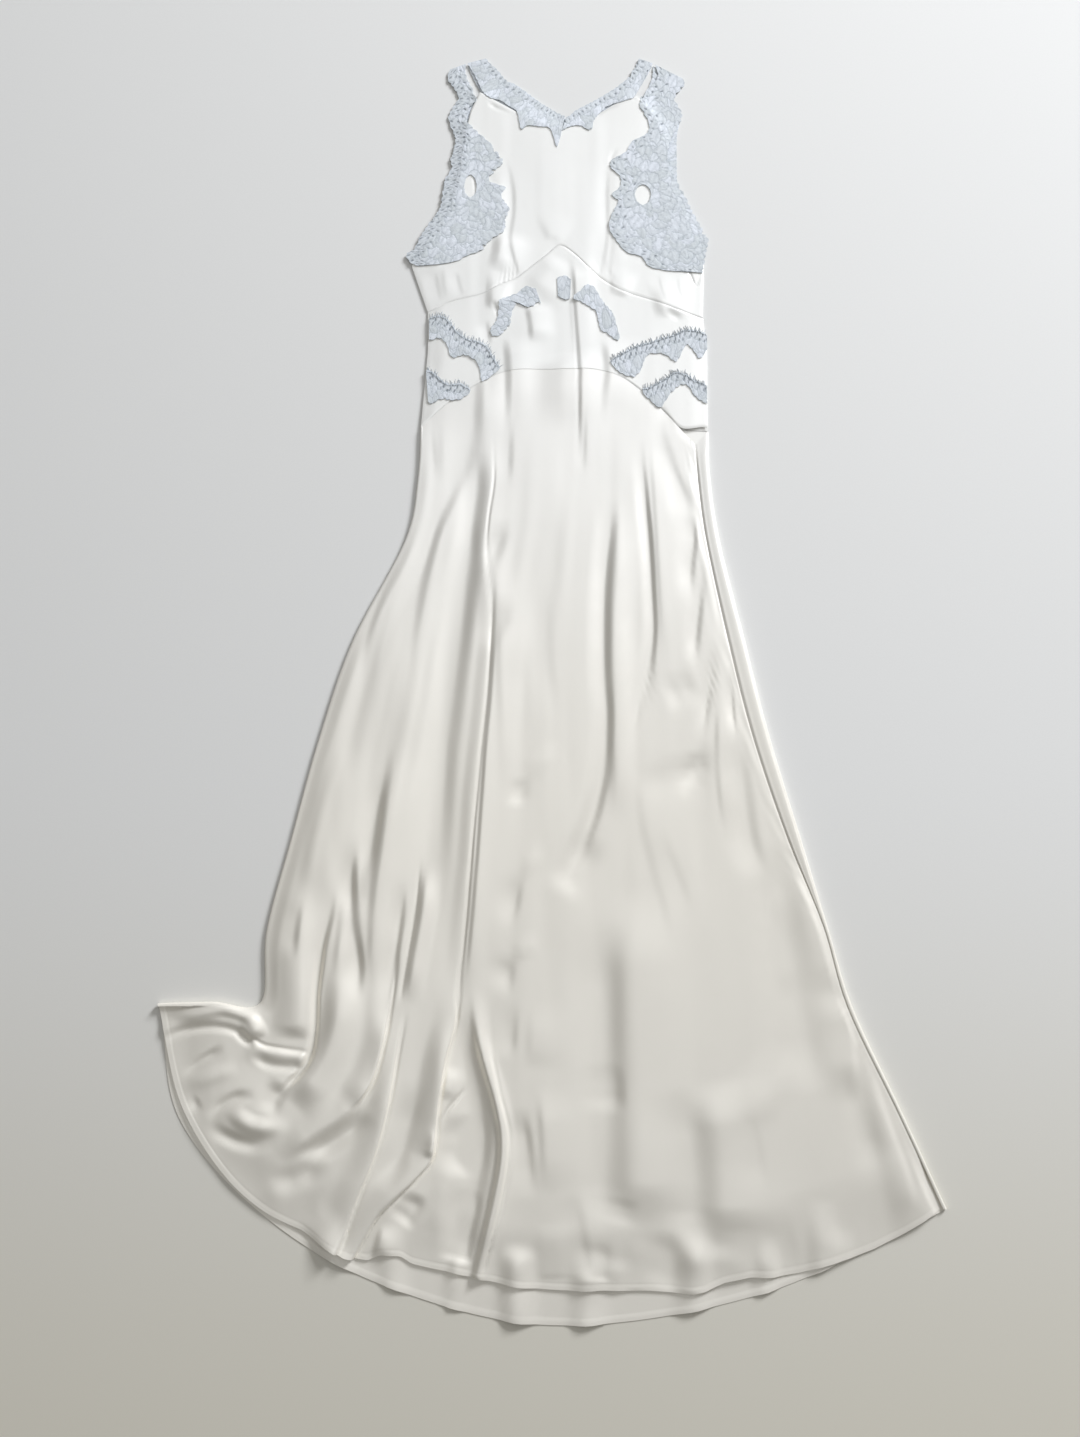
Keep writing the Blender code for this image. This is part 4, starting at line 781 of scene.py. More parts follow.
def fade(distance, reach):
    """1 at an edge, falling smoothly to 0 at its reach."""
    return 1 - soft(distance / reach)


def world(grid):
    """Table millimetres to the frame's metres."""
    flat = np.array(grid, dtype=float).reshape(-1, 3) * MM
    flat[:, 0] -= CORNER[0] * MM
    flat[:, 1] -= CORNER[1] * MM
    return flat


def deselect():
    """Deselect everything."""
    for other in bpy.context.selected_objects:
        other.select_set(False)


def new_piece(name, rows, columns):
    """A piece that starts as a plain grid of points."""
    deselect()
    bpy.ops.mesh.primitive_grid_add(x_subdivisions=columns - 1, y_subdivisions=rows - 1, size=1.0)
    piece = bpy.context.active_object
    piece.name = name
    piece.data.name = name
    return piece


def complete(piece, finish, sharp):
    """Smooth a shaped piece but for its sharp edges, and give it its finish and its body."""
    bpy.ops.object.shade_smooth_by_angle(angle=math.radians(sharp))
    piece.data.materials.clear()
    piece.data.materials.append(finish)
    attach(piece, "root")


def cloth(name, grid, wall, finish, node, cut=None, values=None, sharp=75):
    """A thin shell over a grid of points, rows first, that stands for its solid."""
    piece = new_piece(name, *grid.shape[:2])
    mesh = piece.data
    mesh.vertices.foreach_set("co", world(grid).ravel())
    for key, value in (values or {}).items():
        layer = mesh.attributes.new(key, "FLOAT", "POINT")
        layer.data.foreach_set("value", np.asarray(value, dtype=np.float32).ravel())
    mesh.update()
    work = bmesh.new()
    work.from_mesh(mesh)
    if cut is not None:
        work.verts.ensure_lookup_table()
        gone = [face for face in work.faces if sum(cut[v.index] for v in face.verts) >= 2]
        bmesh.ops.delete(work, geom=gone, context="FACES")
        loose = [v for v in work.verts if not v.link_faces]
        bmesh.ops.delete(work, geom=loose, context="VERTS")
    if sum(face.normal.z * face.calc_area() for face in work.faces) < 0:
        bmesh.ops.reverse_faces(work, faces=work.faces[:])
    work.to_mesh(mesh)
    work.free()
    step = piece.modifiers.new("wall", "SOLIDIFY")
    step.thickness = wall * MM
    step.offset = -1.0
    bpy.ops.object.modifier_apply(modifier=step.name)
    complete(piece, finish, sharp)
    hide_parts(node)
    return piece


# Satin.


def edge_roll(row, radius, back):
    """The left edge of a row rolled under: places and heights from the returned cloth over to the top."""
    turn = np.radians(np.linspace(-90, 90, EDGE_COLUMNS - 2))
    run = np.concatenate([[back, 0.5 * (back + radius)], radius - radius * np.cos(turn)])
    level = np.concatenate([[SATIN_WALL, SATIN_WALL], SATIN_WALL + radius + radius * np.sin(turn)])
    return walk(row, run), level


def edge_growth(level):
    """How much the rolled left edge has grown at a level, counted from the yoke."""
    return EDGE_GROWTH * soft((level - 7.0) / 0.8)


def crowded(guides, count):
    """Places of the columns along each row, closer together where the cloth bends; from 0 to 1."""
    even = np.linspace(0, 1, 640)
    bend = np.zeros((len(guides), len(even)))
    for i, row in enumerate(guides):
        length = row_length(row)
        field = walk(row, length * even)
        height = front_cloth(field[:, 0], field[:, 1])[0]
        pace = length / len(even)
        bend[i] = np.minimum(np.abs(np.gradient(np.gradient(height))) / pace ** 2, 0.6)
    weight = 0.16 + bend
    weight[:, -18:] += 0.25
    for _ in range(3):
        weight = (np.roll(weight, 3, 1) + weight + np.roll(weight, -3, 1)) / 3
        edge = np.vstack([weight[:1], weight, weight[-1:]])
        weight = 0.25 * edge[:-2] + 0.5 * edge[1:-1] + 0.25 * edge[2:]
    total = np.cumsum(weight, axis=1)
    total = (total - total[:, :1]) / (total[:, -1:] - total[:, :1])
    return np.stack([np.interp(np.linspace(0, 1, count), run, even) for run in total])


def seam_rest(y):
    """Height of the right side seam, which stands a little higher where the folds run into it."""
    return EDGE_REST + SEAM_RISE * soft((SEAM_TOP - y) / 160) * soft((y - SEAM_LOW) / 75)


def sewn(x):
    """1 where the yoke seam joins two pieces, 0 in the middle, where the cloth runs on over it."""
    return soft((np.abs(x - YOKE_MIDDLE) - YOKE_OPEN) / YOKE_EASE)


def bias_flow(share, level):
    """The long soft swells of bias cloth that hangs free: none at the yoke and at the right seam."""
    broad = 1.7 * ripple(share * 13, level, 1.0, 2.6, 33)
    narrow = 0.5 * ripple(share * 30, level, 1.0, 1.9, 35)
    drop = soft((level - 0.6) / 3.0) * (1 - 0.25 * soft((level - 8) / 1.0))
    across = np.interp(share, (0, 0.04, 0.5, 0.75, 0.95, 1), (0.2, 1.1, 1.0, 0.5, 0.4, 0.0))
    return (broad + narrow) * (drop * across)


def seam_pucker(panel, level):
    """Small puckers where the right side seam pulls at the cloth."""
    from_seam = apart(panel, panel[:, -1:])
    wander = 2 * ripple(panel[..., 1], 0 * level, 18, 9, 41)
    wave = np.sin((panel[..., 1] + 0.8 * from_seam) / 1.7 + wander)
    return 0.3 * wave * soft(from_seam / 4) * fade(from_seam, 22) * (1 - soft((level - 6.5) / 1.5))


def front_skirt_grid():
    """Front skirt: rolled under at its left edge, over its folds, to the side seam at the right."""
    stops = row_stops(FRONT_ROWS)
    levels = stops * len(FRONT_ROWS)
    guides = section_grid(FRONT_SECTIONS, stops)
    shares = crowded(guides, FRONT_COLUMNS)
    grid = np.zeros((len(stops), EDGE_COLUMNS + FRONT_COLUMNS, 3))
    panel = grid[:, EDGE_COLUMNS:]
    for i, row in enumerate(guides):
        length = row_length(row)
        radius = EDGE_ROUND + edge_growth(levels[i]) * (1 - 0.5 * soft((levels[i] - 8.2) / 0.8))
        rolled, rolled_height = edge_roll(row, radius, ROLL_RETURN + radius - EDGE_ROUND)
        grid[i, :EDGE_COLUMNS, :2] = rolled
        grid[i, :EDGE_COLUMNS, 2] = rolled_height
        run = radius + ROLL_CLEAR + (length - radius - ROLL_CLEAR - SEAM_GAP / 2) * shares[i]
        field = walk(row, run)
        height, over = front_cloth(field[:, 0], field[:, 1])
        from_left = soft((run - radius) / 16)
        from_right = soft((length - run) / 12)
        seam = seam_rest(row[6, 1])
        seam = seam + (height[-1] - seam) * fade(levels[i], 1.2)
        crest = rolled_height[-1] + (height[0] - rolled_height[-1]) * fade(levels[i], 0.8)
        height = crest + (height - crest) * from_left
        height = seam + (height - seam) * from_right
        height -= 0.9 * fade(length - run, 2.2) * soft(levels[i] / 0.6)
        panel[i, :, :2] = field + over * (from_left * from_right)[:, None]
        panel[i, :, 2] = height
    level = levels[:, None]
    panel[..., 2] += bias_flow(shares, level)
    panel[..., 2] += seam_pucker(panel, level)
    gap = apart(panel, panel[-1:])
    doubled = 0.14 * soft((HEM_WIDTH + 0.6 - gap) / 1.2)
    settle = (SKIRT_AIR - 0.6) * fade(gap, HEM_SETTLE)
    stitch = 0.11 * np.exp(-((gap - HEM_WIDTH - 0.8) / 0.8) ** 2)
    panel[..., 2] += doubled - settle - stitch
    panel[..., 1] -= np.interp(panel[..., 0], *HEM_DROP) * fade(gap, HEM_SETTLE)
    joined = sewn(panel[0, :, 0])
    panel[0, :, 1] -= SEAM_GAP / 2 * joined - 0.5 * (1 - joined)
    panel[0, :, 2] -= 0.4 * (1 - joined)
    panel[..., 2] -= 0.6 * sewn(panel[..., 0]) * fade(apart(panel, panel[:1]), 2.5)
    lift = FLOOR_GAP + hem_waves(panel[..., 0], panel[..., 1])
    panel[..., 2] = lift + above_floor(panel[..., 2] - lift, 0.5)
    return grid


def rolled_side(edge, inward, seam, level):
    """The back skirt's right side in one row: a bend at the silhouette, then a rise up to the side seam."""
    across = seam - edge
    width = float(np.hypot(*across))
    unit = across / width
    full = min(width / ROLL_FULL, 1.0)
    ease = soft(level / 0.6)
    rest = SATIN_WALL + (seam_rest(seam[1]) - 0.4 - SATIN_WALL) * (0.5 + 0.5 * ease)
    radius = (rest - SATIN_WALL) / 2
    near = min(radius, 0.45 * width)
    lift = float(hem_waves(edge[None, 0], edge[None, 1])[0])
    points = []
    for k, angle in enumerate(np.radians(np.linspace(-90, 90, BEND_COLUMNS))):
        aim = inward if angle < 0 else unit
        height = SATIN_WALL + radius + radius * math.sin(angle) + lift * fade(k, BEND_COLUMNS - 1.0)
        points.append((*(edge + aim * (near * (1 - math.cos(angle)))), height))
    for k in range(RISE_COLUMNS):
        part = (k + 1) / RISE_COLUMNS
        run = near + (width - SEAM_GAP / 2 - near) * part
        crown = ROLL_CROWN * full * math.sin(math.pi * part ** 0.45) - 0.9 * soft((part - 0.82) / 0.18) * full
        points.append((*(edge + unit * run), rest + (0.4 * soft((part - 0.6) / 0.4) + crown) * ease))
    return points


def back_skirt_grid():
    """Back skirt: flat on the surface with a waving hem, rolled over the right edge up to the side seam."""
    stops = row_stops(BACK_ROWS)
    levels = stops * len(BACK_ROWS)
    front = section_grid(FRONT_SECTIONS, stops)
    guides = section_grid(BACK_SECTIONS, stops)
    grid = np.zeros((len(stops), BACK_COLUMNS + BEND_COLUMNS + RISE_COLUMNS, 3))
    panel = grid[:, :BACK_COLUMNS]
    for i, row in enumerate(guides):
        row[0] = walk(front[i], np.array([ROLL_RETURN + 1.0 + edge_growth(levels[i])]))[0]
        flat_run = row_length(row) - ROLL_RUN
        panel[i, :, :2] = walk(row, flat_run * np.linspace(0, 1, BACK_COLUMNS))
        inward = walk(row, np.array([flat_run]))[0] - row[6]
        inward = inward / np.hypot(*inward)
        grid[i, BACK_COLUMNS:] = rolled_side(row[6], inward, front[i][6], levels[i])
    panel[..., 2] = SATIN_WALL + hem_waves(panel[..., 0], panel[..., 1])
    gap = apart(grid, grid[-1:])
    panel[..., 2] += (0.3 * soft((HEM_WIDTH + 0.6 - gap) / 1.2))[:, :BACK_COLUMNS]
    grid[0, BACK_COLUMNS:, 1] -= 2 * SEAM_GAP
    return grid


def seam_height(x):
    """y of the seam under the bust at x."""
    line = through(UNDERBUST, np.linspace(0, 1, 321))
    return np.interp(x, line[:, 0], line[:, 1])


def level_line(ends, share):
    """Points of a straight line from one x, y to another."""
    (x0, y0), (x1, y1) = ends
    return np.stack([x0 + (x1 - x0) * share, y0 + (y1 - y0) * share], axis=1)


def ruled(upper, lower, steps):
    """Rows of points ruled between two lines that share their numbering."""
    share = np.linspace(0, 1, steps + 1)[:, None, None]
    return upper[None] + (lower - upper)[None] * share


def side_gap(grid):
    """Distance of each point of a panel from its nearer side edge."""
    return np.minimum(apart(grid, grid[:, :1]), apart(grid, grid[:, -1:]))


def bust_grid():
    """Bust panel from the neck and armhole edge down to the seam below it."""
    ribs = np.array(BUST_RIBS)
    stops = np.linspace(0, len(ribs) - 1, BUST_COLUMNS)
    x, y, low_x = (np.interp(stops, range(len(ribs)), ribs[:, k]) for k in range(3))
    low = np.stack([low_x, seam_height(low_x) + SEAM_GAP / 2], axis=1)
    flat = ruled(np.stack([x, y], axis=1), low, BUST_ROWS)
    height, over = front_cloth(flat[..., 0], flat[..., 1])
    above = apart(flat, flat[-1:])
    for middle, reach in GATHERS:
        near = fade(np.abs(flat[..., 0] - middle - 0.1 * above), reach)
        wander = 1.1 * ripple(flat[..., 0], above, 9, 22, 51)
        tuck = np.cos((flat[..., 0] - 0.18 * above) * 0.62 + wander) ** 6
        height = height - 0.55 * tuck * near * fade(above, 30)
    height = height - 0.45 * fade(above, 1.8)
    height = height - 0.9 * fade(side_gap(flat), 40.0) - 0.4 * fade(side_gap(flat), 4.0)
    height = height - 0.5 * fade(apart(flat, flat[:1]), 2.0)
    return np.dstack([flat + over, height])


def midriff_grid():
    """Midriff panel between the seam under the bust and the yoke seam."""
    share = np.linspace(0, 1, MIDRIFF_COLUMNS)
    ends = np.array(BUST_RIBS)[[0, -1], 2]
    across = ends[0] + (ends[1] - ends[0]) * share
    top = np.stack([across, seam_height(across) - SEAM_GAP / 2], axis=1)
    yoke = section_grid(FRONT_SECTIONS, np.array([0.0]))[0]
    low = walk(yoke, row_length(yoke) * share)
    low[:, 1] += SEAM_GAP / 2
    closing = soft((share - 0.9) / 0.1)[:, None]
    low = low + closing ** 2 * (np.array([YOKE_CORNER]) - low[-1:])
    middle = level_line(MIDRIFF_LINE, share)
    rise = (low[:, 1] - low[:, 1].min()) / 91.0
    middle[:, 1] = np.maximum(middle[:, 1], 0.5 * (top[:, 1] + low[:, 1]) - 20 * (1 - rise))
    flat = np.vstack([ruled(top, middle, MIDRIFF_ROWS), ruled(middle, low, MIDRIFF_ROWS)[1:]])
    height, over = front_cloth(flat[..., 0], flat[..., 1])
    height = height - 0.45 * fade(apart(flat, flat[:1]), 1.8)
    height = height - 0.6 * sewn(flat[..., 0]) * fade(apart(flat, flat[-1:]), 2.2)
    height = height - 1.0 * fade(side_gap(flat), 22.0) - 0.3 * fade(side_gap(flat), 3.0)
    return np.dstack([flat + over, height])


def inset(ribs, picks):
    """Inner ends of lace ribs moved on by the seam gap."""
    points = []
    for k in picks:
        outer = np.array(ribs[k][:2])
        inner = np.array(ribs[k][2:])
        run = inner - outer
        points.append(inner + run / np.hypot(*run) * SEAM_GAP)
    return points


def back_top():
    """Upper edge of the back panel, from the left armhole round the neck to the right one."""
    left_end = np.array(BACK_LEFT[-1])
    right_end = np.array(BACK_RIGHT[-1])
    right = np.array(BACK_RIGHT)[:, [2, 3, 0, 1]]
    points = [left_end[:2] + (0.0, -0.5), left_end[2:] + (0.4, -0.5)]
    points += inset(BACK_LEFT, range(len(BACK_LEFT) - 2, 2, -1))
    points += [np.array(BACK_PEAKS[0])]
    points += inset(BACK_NECK, range(3, len(BACK_NECK) - 2))
    points += [np.array(BACK_PEAKS[1])]
    points += inset(right, range(3, len(right) - 1))
    points += [right_end[:2] + (-0.4, -0.5), right_end[2:] + (0.0, -0.5)]
    return np.array(points)


def back_bodice_grid():
    """Back panel below the back lace, down to the waist."""
    top = back_top()
    run = np.abs(np.diff(top[:, 0])) + 0.35 * np.abs(np.diff(top[:, 1]))
    share = np.concatenate([[0.0], np.cumsum(run)])
    share = share / share[-1]
    stops = np.unique(np.concatenate([share, np.linspace(0, 1, BODICE_COLUMNS)]))
    top = along_line(top, share, stops)
    lines = [top] + [level_line(ends, stops) for ends in (BACK_BUST, MIDRIFF_LINE, BACK_WAIST)]
    bands = [ruled(upper, lower, rows) for upper, lower, rows in zip(lines, lines[1:], BODICE_ROWS)]
    flat = np.vstack([top[None]] + [band[1:] for band in bands])
    fine = 0.12 * ripple(flat[..., 0], flat[..., 1], 30, 90, 5)
    height = SATIN_WALL + 0.12 + 0.25 * soft(side_gap(flat) / 12) + fine
    return np.dstack([flat, height])


# Lace.


def lace_grid(ribs, cell, scallop, picot):
    """Fine grid of a lace piece between its two edges, with the small scallops that finish them.

    Gives the grid, the run along it, and the depth from its outer and from its inner edge."""
    ribs = np.array(ribs, dtype=float)
    fine = np.linspace(0, 1, 40 * len(ribs))
    outer, inner = through(ribs[:, :2], fine), through(ribs[:, 2:], fine)
    pace = 0.5 * (np.hypot(*np.diff(outer, axis=0).T) + np.hypot(*np.diff(inner, axis=0).T))
    run = np.concatenate([[0.0], np.cumsum(pace)])
    rows = max(int(run[-1] / cell), 6)
    stops = np.linspace(0, run[-1], rows + 1)
    outer, inner = along_line(outer, run, stops), along_line(inner, run, stops)
    across = inner - outer
    wide = np.hypot(*across.T)
    unit = across / np.maximum(wide, 0.1)[:, None]
    reach = np.minimum(1.0, wide / 14.0)[:, None]
    beat = stops + 1.8 * np.sin(stops / 6.1 + 0.4 * len(ribs))
    outer = outer - unit * reach * (scallop[1] * np.abs(np.sin(math.pi * beat / scallop[0])) - 0.5)[:, None]
    inner = inner + unit * reach * (picot[1] * np.abs(np.sin(math.pi * beat / picot[0])) - 0.4)[:, None]
    columns = max(int(np.percentile(wide, 80) / cell), 5)
    share = np.linspace(0, 1, columns + 1)[None, :, None]
    grid = outer[:, None] + (inner - outer)[:, None] * share
    wide = np.hypot(*(inner - outer).T)[:, None]
    return grid, np.repeat(stops[:, None], columns + 1, 1), wide * share[..., 0], wide * (1 - share[..., 0])


def petals(grid, run, outer_depth, inner_depth, size, about, chain, seed):
    """Places, half lengths, half widths, turns and tones of overlapping petals.

    They point away from a flower's middle where there is one, else roughly across the piece. A chain gives a
    regular row of them at its depth from the outer edge, one to each pitch."""
    rng = np.random.default_rng(seed)
    spots = grid.reshape(-1, 2)
    clear = np.minimum(outer_depth, inner_depth).ravel()
    columns = grid.shape[1]
    placed = np.zeros((0, 2))
    found = []
    for k in rng.permutation(len(spots)):
        if clear[k] < 2.6 or (len(placed) and np.hypot(*(placed - spots[k]).T).min() < 0.40 * size):
            continue
        placed = np.vstack([placed, spots[k]])
        away = spots[k] - about if about is not None else grid[k // columns, -1] - grid[k // columns, 0]
        turn = math.atan2(away[1], away[0]) + rng.uniform(-0.5, 0.5)
        wide = min(rng.uniform(0.34, 0.62) * size, clear[k] + 0.8)
        long = min(wide * rng.uniform(1.3, 2.3), clear[k] + 2.4)
        order = -math.hypot(*away) if about is not None else rng.uniform(0, 1)
        found.append((order, *spots[k], long, wide, turn, rng.uniform(0, 1), rng.uniform(0, 6.28)))
    found = [row[1:] for row in sorted(found)]
    for depth, pitch, long, slant in chain:
        for s in np.arange(0.5 * pitch, run[-1, 0], pitch):
            row = int(np.argmin(np.abs(run[:, 0] - s)))
            column = int(np.argmin(np.abs(outer_depth[row] - depth)))
            if abs(outer_depth[row, column] - depth) > 2 or inner_depth[row, column] < 1.5:
                continue
            across = grid[row, -1] - grid[row, 0]
            turn = math.atan2(across[1], across[0]) + slant + rng.uniform(-0.25, 0.25)
            tone, start = rng.uniform(0.1, 0.7), rng.uniform(0, 6.28)
            found.append((*grid[row, column], long, 0.56 * pitch, turn, tone, start))
    return found


def lace_pattern(grid, run, outer_depth, inner_depth, leaves, dashes, holes, seed):
    """The make of the lace at each point, from 0 to 1: petal rims, crowns and tones, eyelets, and gaps."""
    x = grid[..., 0] + 1.2 * ripple(grid[..., 0], grid[..., 1], 4.5, 4.5, seed)
    y = grid[..., 1] + 1.2 * ripple(grid[..., 0], grid[..., 1], 4.5, 4.5, seed + 50)
    rim, crown, tone, eyelet = (np.zeros_like(x) for _ in range(4))
    bare = np.ones(x.shape, dtype=bool)
    for cx, cy, long, wide, turn, shade, start in leaves:
        dx, dy = x - cx, y - cy
        along = (dx * math.cos(turn) + dy * math.sin(turn)) / long
        aside = (dy * math.cos(turn) - dx * math.sin(turn)) / wide
        q = np.hypot(along, aside) / (1 + 0.12 * np.sin(3 * np.arctan2(aside, along) + start))
        over = q < 1
        spread = np.arctan2(aside, along + 1.25)
        vein = 0.45 * (0.5 + 0.5 * np.cos(spread * 15 + start)) ** 2 * soft(q / 0.4)
        rim[over] = np.maximum(np.exp(-((1 - q) * wide / 0.6) ** 2), vein)[over]
        crown[over] = np.sqrt(1 - q[over] ** 3)
        tone[over] = shade
        bare &= ~over
    edge = np.minimum(outer_depth, inner_depth)
    for depth, pitch, slant, size in dashes:
        s = run + slant * (outer_depth - depth) + 1.3 * ripple(run, outer_depth, 12, 5, seed + 9)
        number = np.floor(s / pitch + 0.31 * depth)
        beat = s / pitch + 0.31 * depth - number - 0.5
        strong = 0.5 + 0.5 * np.abs(np.sin(2.4 * number + depth))
        away = outer_depth - depth - 1.2 * np.sin(1.7 * number)
        dash = strong * np.exp(-(beat * pitch / 1.0) ** 2) * np.exp(-(away / size) ** 4)
        eyelet = np.maximum(eyelet, dash * soft((inner_depth - 1.5) / 1.5))
    around = np.zeros_like(x)
    wide = outer_depth + inner_depth
    gap = bare & (edge < 5.0) & (wide > 9)
    for cx, cy, rx, ry in holes:
        r = (np.hypot((grid[..., 0] - cx) / rx, (grid[..., 1] - cy) / ry) - 1.0) * min(rx, ry)
        around = np.maximum(around, np.exp(-((r - 0.9) / 0.9) ** 2))
        gap = (gap & (r > 3.0)) | (r < 0)
    crown = np.maximum(crown, around) * (1 - 0.8 * eyelet)
    return rim, crown, tone, eyelet, gap


def cloth_trees(pieces):
    """Search trees of finished pieces to rest lace on."""
    graph = bpy.context.evaluated_depsgraph_get()
    return [BVHTree.FromObject(piece, graph) for piece in pieces]


def top_at(x, y, trees):
    """Height in metres of the highest cloth at one spot, or 0 where there is none."""
    hits = (tree.ray_cast(Vector((x, y, RAY_START)), Vector((0, 0, -1)))[0] for tree in trees)
    return max((hit.z for hit in hits if hit is not None), default=0.0)


def lay(grid, below):
    """Heights that let a flat grid lie on what is below it, soft over steps and clear everywhere."""
    spots = world(np.dstack([grid, np.zeros(grid.shape[:2])]))
    found = np.array([max(SATIN_WALL, top_at(x, y, below) / MM) for x, y, _ in spots]).reshape(grid.shape[:2])
    level = found.copy()
    for k in range(LACE_SETTLE):
        wide = np.pad(level, 1, mode="edge")
        beside = (wide[:-2, 1:-1], wide[2:, 1:-1], wide[1:-1, :-2], wide[1:-1, 2:])
        around = sum(beside) / 4
        if k < 3:
            around = np.maximum.reduce([*beside, level])
        level = np.maximum(around, found)
    return level


def lace(part, ribs, below, seed, size, cell=1.0, chain=(), dashes=(), holes=(), scallop=(8.0, 0.9),
         picot=(5.5, 0.6)):
    """One piece of corded lace: overlapping petals, rows of eyelets, scalloped edges, open at its holes."""
    grid, run, outer_depth, inner_depth = lace_grid(ribs, cell, scallop, picot)
    about = np.array(holes[0][:2]) if holes else None
    leaves = petals(grid, run, outer_depth, inner_depth, size, about, chain, seed)
    rim, crown, tone, eyelet, gap = lace_pattern(grid, run, outer_depth, inner_depth, leaves, dashes, holes,
                                                 seed)
    if below:
        level = lay(grid, below) + LACE_CLEAR + LACE_WALL
    else:
        level = np.full(grid.shape[:2], LACE_WALL + 0.45)
    level = level + 0.2 * crown - 0.1 * rim - 0.3 * eyelet
    marks = {"rim": rim, "crown": crown, "tone": tone, "eyelet": eyelet}
    return cloth("lace_of_" + part, np.dstack([grid, level]), LACE_WALL, LACE_FINISH, "lace_" + part,
                 gap.ravel(), marks, sharp=80)


def turned(direction, angle):
    """A direction turned by an angle."""
    return np.array([direction[0] * math.cos(angle) - direction[1] * math.sin(angle),
                     direction[0] * math.sin(angle) + direction[1] * math.cos(angle)])


def picot_points(foot, out, length, bend, trees):
    """Four rings of three points along one picot, which lies on what is below it."""
    side = np.array([-out[1], out[0]])
    points = []
    for part in (0.0, 0.35, 0.7, 1.0):
        spot = foot - out * 1.5 + out * (length + 1.5) * part + side * bend * part ** 2
        x, y, _ = world([[spot[0], spot[1], 0.0]])[0]
        thick = PICOT_HALF * (1 - 0.6 * part) * MM
        lift = top_at(x, y, trees) + thick + 0.1 * MM
        points += [(x + side[0] * thick, y + side[1] * thick, lift - thick * 0.6),
                   (x - side[0] * thick, y - side[1] * thick, lift - thick * 0.6),
                   (x, y, lift + thick)]
    return points


def picot_faces(base):
    """Faces of one picot whose first point has this number: three sides between its rings, and two ends."""
    faces = []
    for first in (base, base + 3, base + 6):
        for n, m in ((0, 1), (1, 2), (2, 0)):
            faces.append((first + n, first + m, first + 3 + m, first + 3 + n))
    return faces + [(base, base + 2, base + 1), (base + 9, base + 10, base + 11)]


def picots(part, ribs, trees, seed):
    """The loose thread ends that stand along the upper edge of a waist band."""
    rng = np.random.default_rng(seed)
    ribs = np.array(ribs, dtype=float)
    upper, lower = (through(edge, np.linspace(0, 1, 240)) for edge in (ribs[:, :2], ribs[:, 2:]))
    run = np.concatenate([[0.0], np.cumsum(np.hypot(*np.diff(upper, axis=0).T))])
    points, faces = [], []
    for s in np.arange(1.5, run[-1] - 1.5, PICOT_PITCH):
        k = int(np.searchsorted(run, s))
        out = upper[k] - lower[k]
        out = turned(out / max(float(np.hypot(*out)), 0.1), rng.uniform(-0.5, 0.5))
        length = rng.uniform(*PICOT_LONG)
        bend = rng.uniform(-1.2, 1.2)
        faces += picot_faces(len(points))
        points += picot_points(upper[k], out, length, bend, trees)
    piece = new_piece("picots_of_" + part, 2, 2)
    work = bmesh.new()
    made = [work.verts.new(p) for p in points]
    for face in faces:
        work.faces.new([made[k] for k in face])
    bmesh.ops.recalc_face_normals(work, faces=work.faces[:])
    work.to_mesh(piece.data)
    work.free()
    complete(piece, THREAD_FINISH, 60)
    return piece


# Finishes.


def colour(code):
    """An sRGB hex colour as linear red, green, blue and alpha."""
    parts = [int(code[k:k + 2], 16) / 255 for k in (1, 3, 5)]
    return tuple(c / 12.92 if c <= 0.04045 else ((c + 0.055) / 1.055) ** 2.4 for c in parts) + (1.0,)


def add(tree, kind, links=None, **settings):
    """Add one node: its own settings, the values of its inputs, and the links into it."""
    made = tree.nodes.new(kind)
    for key, value in settings.items():
        if key == "values":
            for socket, number in value.items():
                made.inputs[socket].default_value = number
        else:
            setattr(made, key, value)
    for socket, source in (links or {}).items():
        tree.links.new(source, made.inputs[socket])
    return made


def noise(tree, place, scale, detail, roughness=0.5):
    """Soft noise over a place, from about 0.3 to 0.7."""
    values = {"Scale": scale, "Detail": detail, "Roughness": roughness}
    return add(tree, "ShaderNodeTexNoise", {"Vector": place}, values=values).outputs["Fac"]


def remap(tree, source, before, after, kind="LINEAR"):
    """One range of values, low and high, turned into another."""
    values = {"From Min": before[0], "From Max": before[1], "To Min": after[0], "To Max": after[1]}
    made = add(tree, "ShaderNodeMapRange", {"Value": source}, interpolation_type=kind, values=values)
    return made.outputs["Result"]


def blend(tree, share, first, second):
    """A share from one colour to the next; the first may be a hex code or a node's own colour."""
    links = {0: share} if isinstance(first, str) else {0: share, "A": first}
    made = add(tree, "ShaderNodeMix", links, data_type="RGBA")
    if isinstance(first, str):
        made.inputs["A"].default_value = colour(first)
    made.inputs["B"].default_value = colour(second)
    return made.outputs["Result"]


def shaded(tree, tint, shade):
    """A colour made lighter or darker by a value."""
    return add(tree, "ShaderNodeVectorMath", {0: tint, "Scale": shade}, operation="SCALE").outputs["Vector"]


def height_up(tree, place):
    """How far up the dress a place is, in metres from its middle."""
    return add(tree, "ShaderNodeSeparateXYZ", {"Vector": place}).outputs["Y"]


def finish(name, **values):
    """A new material with its shader set, its node tree, and the places its patterns are drawn on."""
    made = bpy.data.materials.new(name)
    made.use_nodes = True
    tree = made.node_tree
    shader = tree.nodes["Principled BSDF"]
    for socket, value in values.items():
        shader.inputs[socket.replace("_", " ")].default_value = value
    return made, tree, shader, add(tree, "ShaderNodeTexCoord").outputs["Object"]


